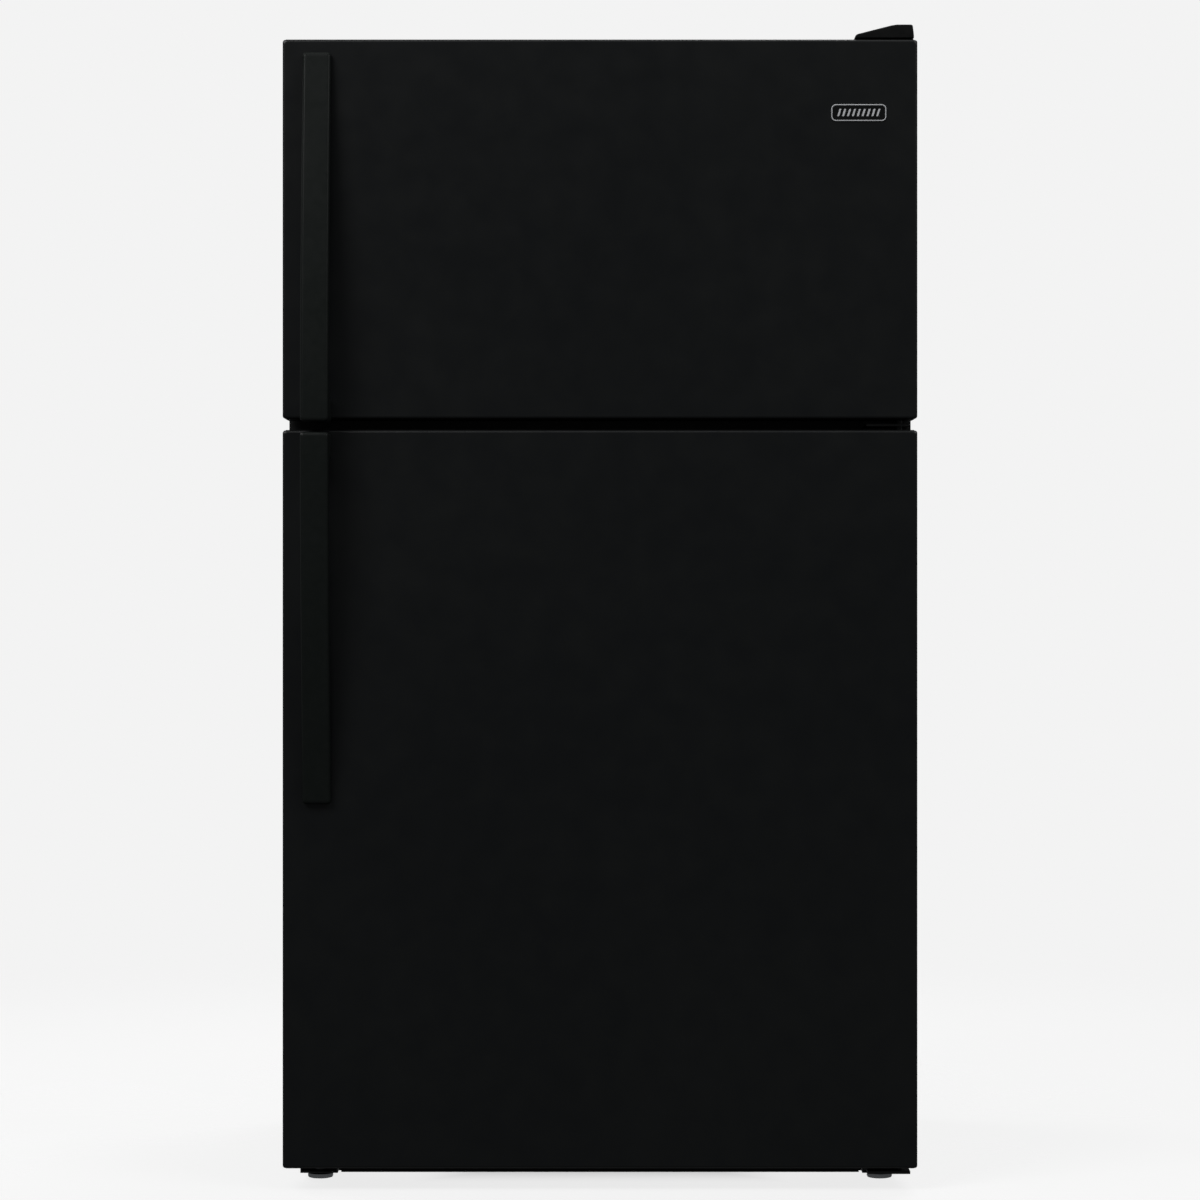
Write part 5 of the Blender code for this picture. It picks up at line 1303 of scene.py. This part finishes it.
def make_machine_compartment():
    node = "compressor"
    x, y = 0.170, 0.285
    bm = bmesh.new()
    lathe(bm, [(0.0, 0.235), (0.016, 0.2345), (0.032, 0.232), (0.048, 0.2265), (0.060, 0.2180),
               (0.069, 0.2050), (0.0740, 0.1880), (0.0750, 0.1700), (0.0750, 0.1512), (0.0778, 0.1502),
               (0.0783, 0.1450), (0.0778, 0.1398), (0.0750, 0.1388), (0.0750, 0.1080), (0.0735, 0.0960),
               (0.0680, 0.0830), (0.0580, 0.0730), (0.0450, 0.0675), (0.0, 0.0650)], (x, y, 0.0), "Z", 64)
    piece("compressor_shell", COMPRESSOR_PAINT, node, bm, angle=50)
    bm = bmesh.new()
    box(bm, (x - 0.085, y - 0.055, 0.0585), (x + 0.085, y + 0.055, 0.0645), 0.0015)
    box(bm, (x - 0.060, y - 0.050, 0.0600), (x + 0.060, y + 0.050, 0.0700), 0.004, 3)
    piece("compressor_plate", COMPRESSOR_PAINT, node, bm, False)
    bm = bmesh.new()
    box(bm, (x + 0.060, y - 0.024, 0.110), (x + 0.098, y + 0.024, 0.185), 0.004, 3)
    box(bm, (x + 0.0975, y - 0.014, 0.120), (x + 0.0990, y + 0.014, 0.175), 0.0006)
    piece("compressor_terminal_box", TRIM_PLASTIC, node, bm, False)
    bm = bmesh.new()
    for dx in (-0.073, 0.073):
        for dy in (-0.043, 0.043):
            lathe(bm, [(0.0070, 0.0), (0.0095, 0.0010), (0.0095, 0.0050), (0.0075, 0.0070),
                       (0.0075, 0.0090), (0.0095, 0.0110), (0.0092, 0.0175), (0.0060, 0.0190)],
                  (x + dx, y + dy, 0.0450), "Z", 24)
    piece("compressor_grommets", RUBBER, node, bm, False)
    screws("compressor_bolts", node,
           [(x + dx, y + dy, 0.0645) for dx in (-0.073, 0.073) for dy in (-0.043, 0.043)], 0.0062, FACE_UP)

    corners = [(x - 0.0765, y, 0.165), (x - 0.110, y, 0.165), (x - 0.110, y, 0.205),
               (x - 0.110, 0.215, 0.205), (x - 0.110, 0.215, 0.2795)]
    grown("suction_tube", COPPER, "suction_line", path_of(rounded_path(corners, 0.015, 8)), TUBE, True,
          Radius=0.004, Sides=16)
    corners = [(x + 0.030, y + 0.060, 0.110), (x + 0.040, y + 0.088, 0.110), (x + 0.040, y + 0.088, 0.190)]
    grown("process_tube", COPPER, "compressor", path_of(rounded_path(corners, 0.010, 6)), TUBE,
          Radius=0.003, Sides=14)

    node = "condenser_coil"
    ends = (-0.355, -0.085)
    levels = [0.080 + 0.040 * i for i in range(4)]
    corners = []
    side = 0
    for layer, depth in enumerate((0.230, 0.275, 0.320)):
        for level in (levels if layer % 2 == 0 else levels[::-1]):
            corners += [(ends[side], depth, level), (ends[1 - side], depth, level)]
            side = 1 - side
    grown("condenser_tube", BLACK_STEEL, node, path_of(rounded_path(corners, 0.0175, 6)), TUBE, True,
          Radius=0.003, Sides=12)
    bm = bmesh.new()
    for depth in (0.230, 0.275, 0.320):
        for offset in (-0.0036, 0.0036):
            rod(bm, (ends[0] + 0.020, depth + offset, 0.072), (ends[0] + 0.020, depth + offset, 0.208),
                0.0007, 6)
    grown("condenser_wires", BLACK_STEEL, node, bm, ROWS, Count=30, Step=(0.0079, 0.0, 0.0))

    make_fan("condenser_fan", (1.0, 0.0, 0.0), 0.068, 0.018, 5, -24)
    piece("fan_shroud", MOULDED_GREY, "condenser_fan_shroud", copy_of("condenser_fan_shroud", 0.0006))
    low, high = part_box("drain_pan")
    bm = bmesh.new()
    tray(bm, low, high, 0.0015, 0.012, 0.003, 0.0020, 0.003, 0.004)
    piece("drain_tray", TRIM_PLASTIC, "drain_pan", bm)


# ---------------------------------------------------------------- hinges

def make_hinges():
    low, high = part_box("top_hinge_cover")
    outline = [(low.x, low.z), (high.x, low.z), (high.x - 0.0006, low.z + 0.008), (high.x - 0.0020, high.z),
               (high.x - 0.0225, high.z), (high.x - 0.0300, high.z - 0.0012),
               (low.x + 0.004, high.z - 0.0122), (low.x, high.z - 0.0140)]
    bm = bmesh.new()
    prism(bm, outline, "Y", low.y, high.y, 0.0022, 3, 25)
    piece("hinge_cap", TRIM_PLASTIC, "top_hinge_cover", bm, angle=45)
    screws("hinge_cap_screw", "top_hinge_cover", [(high.x - 0.0120, high.y - 0.020, high.z - 0.0004)],
           0.0042, FACE_UP, BLACK_STEEL)
    for node, look in (("top_hinge", PLATED_STEEL), ("centre_hinge", BLACK_STEEL),
                       ("bottom_hinge", BLACK_STEEL)):
        piece(node + "_bracket", look, node, copy_of(node, 0.0005))
    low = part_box("top_hinge")[0]
    screws("top_hinge_screws", "top_hinge",
           [(low.x + 0.014, -0.245, low.z + 0.0183), (low.x + 0.042, -0.245, low.z + 0.0183),
            (low.x + 0.028, -0.190, low.z + 0.0183)], 0.0048, FACE_UP)
    low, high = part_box("centre_hinge")
    face = high.y - 0.0025
    screws("centre_hinge_screws", "centre_hinge",
           [(low.x + 0.012, face, 1.0096), (low.x + 0.042, face, 1.0096)], 0.0026, FACE_FRONT, BLACK_STEEL)


# ---------------------------------------------------------------- insulation

def make_foam():
    """The insulation, rounded where it lies under the wrapper's bends and the fridge liner's step."""
    bm = copy_of("foam_insulation", 0.0)
    half = max(v.co.x for v in bm.verts)
    top = max(v.co.z for v in bm.verts)
    step_y, step_z = 0.1423, 0.3247

    def off_the_bends(edge):
        return any(abs(v.co.x) < half - 0.0001 or v.co.z < top - 0.0001 for v in edge.verts)

    def off_the_step(edge):
        return any(abs(v.co.y - step_y) + abs(v.co.z - step_z) > 0.0005 for v in edge.verts)

    round_off(bm, 0.006, 4, keep=off_the_bends)
    round_off(bm, 0.015, 4, keep=off_the_step)
    piece("insulation_foam", FOAM, "foam_insulation", bm)


# ---------------------------------------------------------------- floor, light and camera

def make_floor():
    """A pale floor that fades into the backdrop. It glows evenly, except under the cabinet, where the glow
    falls away as painted shade.
    """
    bm = bmesh.new()
    bmesh.ops.create_circle(bm, cap_ends=True, segments=96, radius=3.6)
    floor = object_of("studio_floor", bm)
    look = bpy.data.materials.new("pale_floor")
    look.use_nodes = True
    tree = look.node_tree
    shader = tree.nodes["Principled BSDF"]
    shader.inputs["Roughness"].default_value = 0.85
    shader.inputs["Specular IOR Level"].default_value = 0.1
    shader.inputs["Emission Strength"].default_value = 0.72
    point = object_point(tree)
    half = put(tree, "ShaderNodeVectorMath", {"operation": "ABSOLUTE"}, at0=point)
    sides = put(tree, "ShaderNodeSeparateXYZ", Vector=half.outputs[0])
    reach = put(tree, "ShaderNodeMath", {"operation": "MAXIMUM"}, at0=sides.outputs[0], at1=sides.outputs[1])
    # The glow falls to nothing under the cabinet: this is painted shade beneath the refrigerator, not a cast
    # shadow.
    glow_with_painted_shade = put(tree, "ShaderNodeMapRange", {"interpolation_type": "SMOOTHSTEP"}, Value=reach.outputs[0],
                   From_Min=0.08, From_Max=0.26)
    tree.links.new(glow_with_painted_shade.outputs[0], shader.inputs["Emission Color"])
    speckle = put(tree, "ShaderNodeTexNoise", Vector=point, Scale=3.0, Detail=4.0)
    colour = put(tree, "ShaderNodeMix", {"data_type": "RGBA"}, at0=speckle.outputs[0],
                 at6=(0.30, 0.30, 0.30, 1), at7=(0.32, 0.32, 0.32, 1))
    tree.links.new(colour.outputs[2], shader.inputs["Base Color"])
    distance = put(tree, "ShaderNodeVectorMath", {"operation": "LENGTH"}, at0=point)
    fade = put(tree, "ShaderNodeMapRange", {"interpolation_type": "SMOOTHERSTEP"},
               Value=distance.outputs["Value"], From_Min=1.0, From_Max=3.2, To_Min=0.5, To_Max=0.0)
    side = put(tree, "ShaderNodeNewGeometry")
    from_above = put(tree, "ShaderNodeMath", {"operation": "SUBTRACT"}, at0=fade.outputs[0],
                     at1=side.outputs["Backfacing"])
    from_above.use_clamp = True
    tree.links.new(from_above.outputs[0], shader.inputs["Alpha"])
    floor.data.materials.append(look)
    floor.visible_diffuse = False
    floor.visible_glossy = False


def make_light():
    """A pale backdrop that lights nothing much by itself, and soft lamps round the object."""
    world = bpy.data.worlds.new("studio")
    SCENE.world = world
    world.use_nodes = True
    tree = world.node_tree
    tree.nodes.clear()
    backdrop = 0.896
    ambient = 0.10
    seen = put(tree, "ShaderNodeBackground", Color=(backdrop, backdrop, backdrop, 1), Strength=1.0)
    unseen = put(tree, "ShaderNodeBackground", Color=(0.97, 0.99, 1.0, 1), Strength=ambient)
    ray = put(tree, "ShaderNodeLightPath")
    mix = put(tree, "ShaderNodeMixShader", at0=ray.outputs["Is Camera Ray"], at1=unseen.outputs[0],
              at2=seen.outputs[0])
    put(tree, "ShaderNodeOutputWorld", Surface=mix.outputs[0])
    lamps = {
        # lamp: place, size, watts
        "key_light": ((-2.9, -3.7, 4.6), 3.4, 170.0),
        "fill_light": ((3.2, -3.2, 4.2), 3.4, 80.0),
        "top_light": ((0.0, -0.6, 5.6), 3.2, 25.0),
        "back_light": ((1.8, 3.4, 4.8), 3.4, 110.0),
        "left_light": ((-4.0, 2.0, 4.2), 3.0, 80.0),
    }
    aim = (CAD_BOX[0] + CAD_BOX[1]) / 2
    for name, (place, size, watts) in lamps.items():
        data = bpy.data.lights.new(name, "AREA")
        data.shape = "DISK"
        data.size = size
        data.energy = watts
        lamp = bpy.data.objects.new(name, data)
        lamp.location = place
        lamp.rotation_euler = (aim - Vector(place)).to_track_quat("-Z", "Y").to_euler()
        lamp.visible_camera = False
        SCENE.collection.objects.link(lamp)
    SCENE.view_settings.view_transform = "Standard"


def make_camera():
    data = bpy.data.cameras.new("camera")
    data.lens = 114.5
    data.sensor_width = 36.0
    camera = bpy.data.objects.new("camera", data)
    camera.location = (0.0, -5.329, 0.7747)
    camera.rotation_euler = (math.pi / 2, 0.0, 0.0)
    SCENE.collection.objects.link(camera)
    SCENE.camera = camera


make_camera()
make_floor()
make_light()
make_doors()
make_wrapper()
make_rear_panel()
make_rear_access_cover()
make_base()
make_liners()
make_shelf_set()
make_crispers()
make_controls()
make_air_duct()
make_freezer_inside()
make_machine_compartment()
make_hinges()
make_foam()
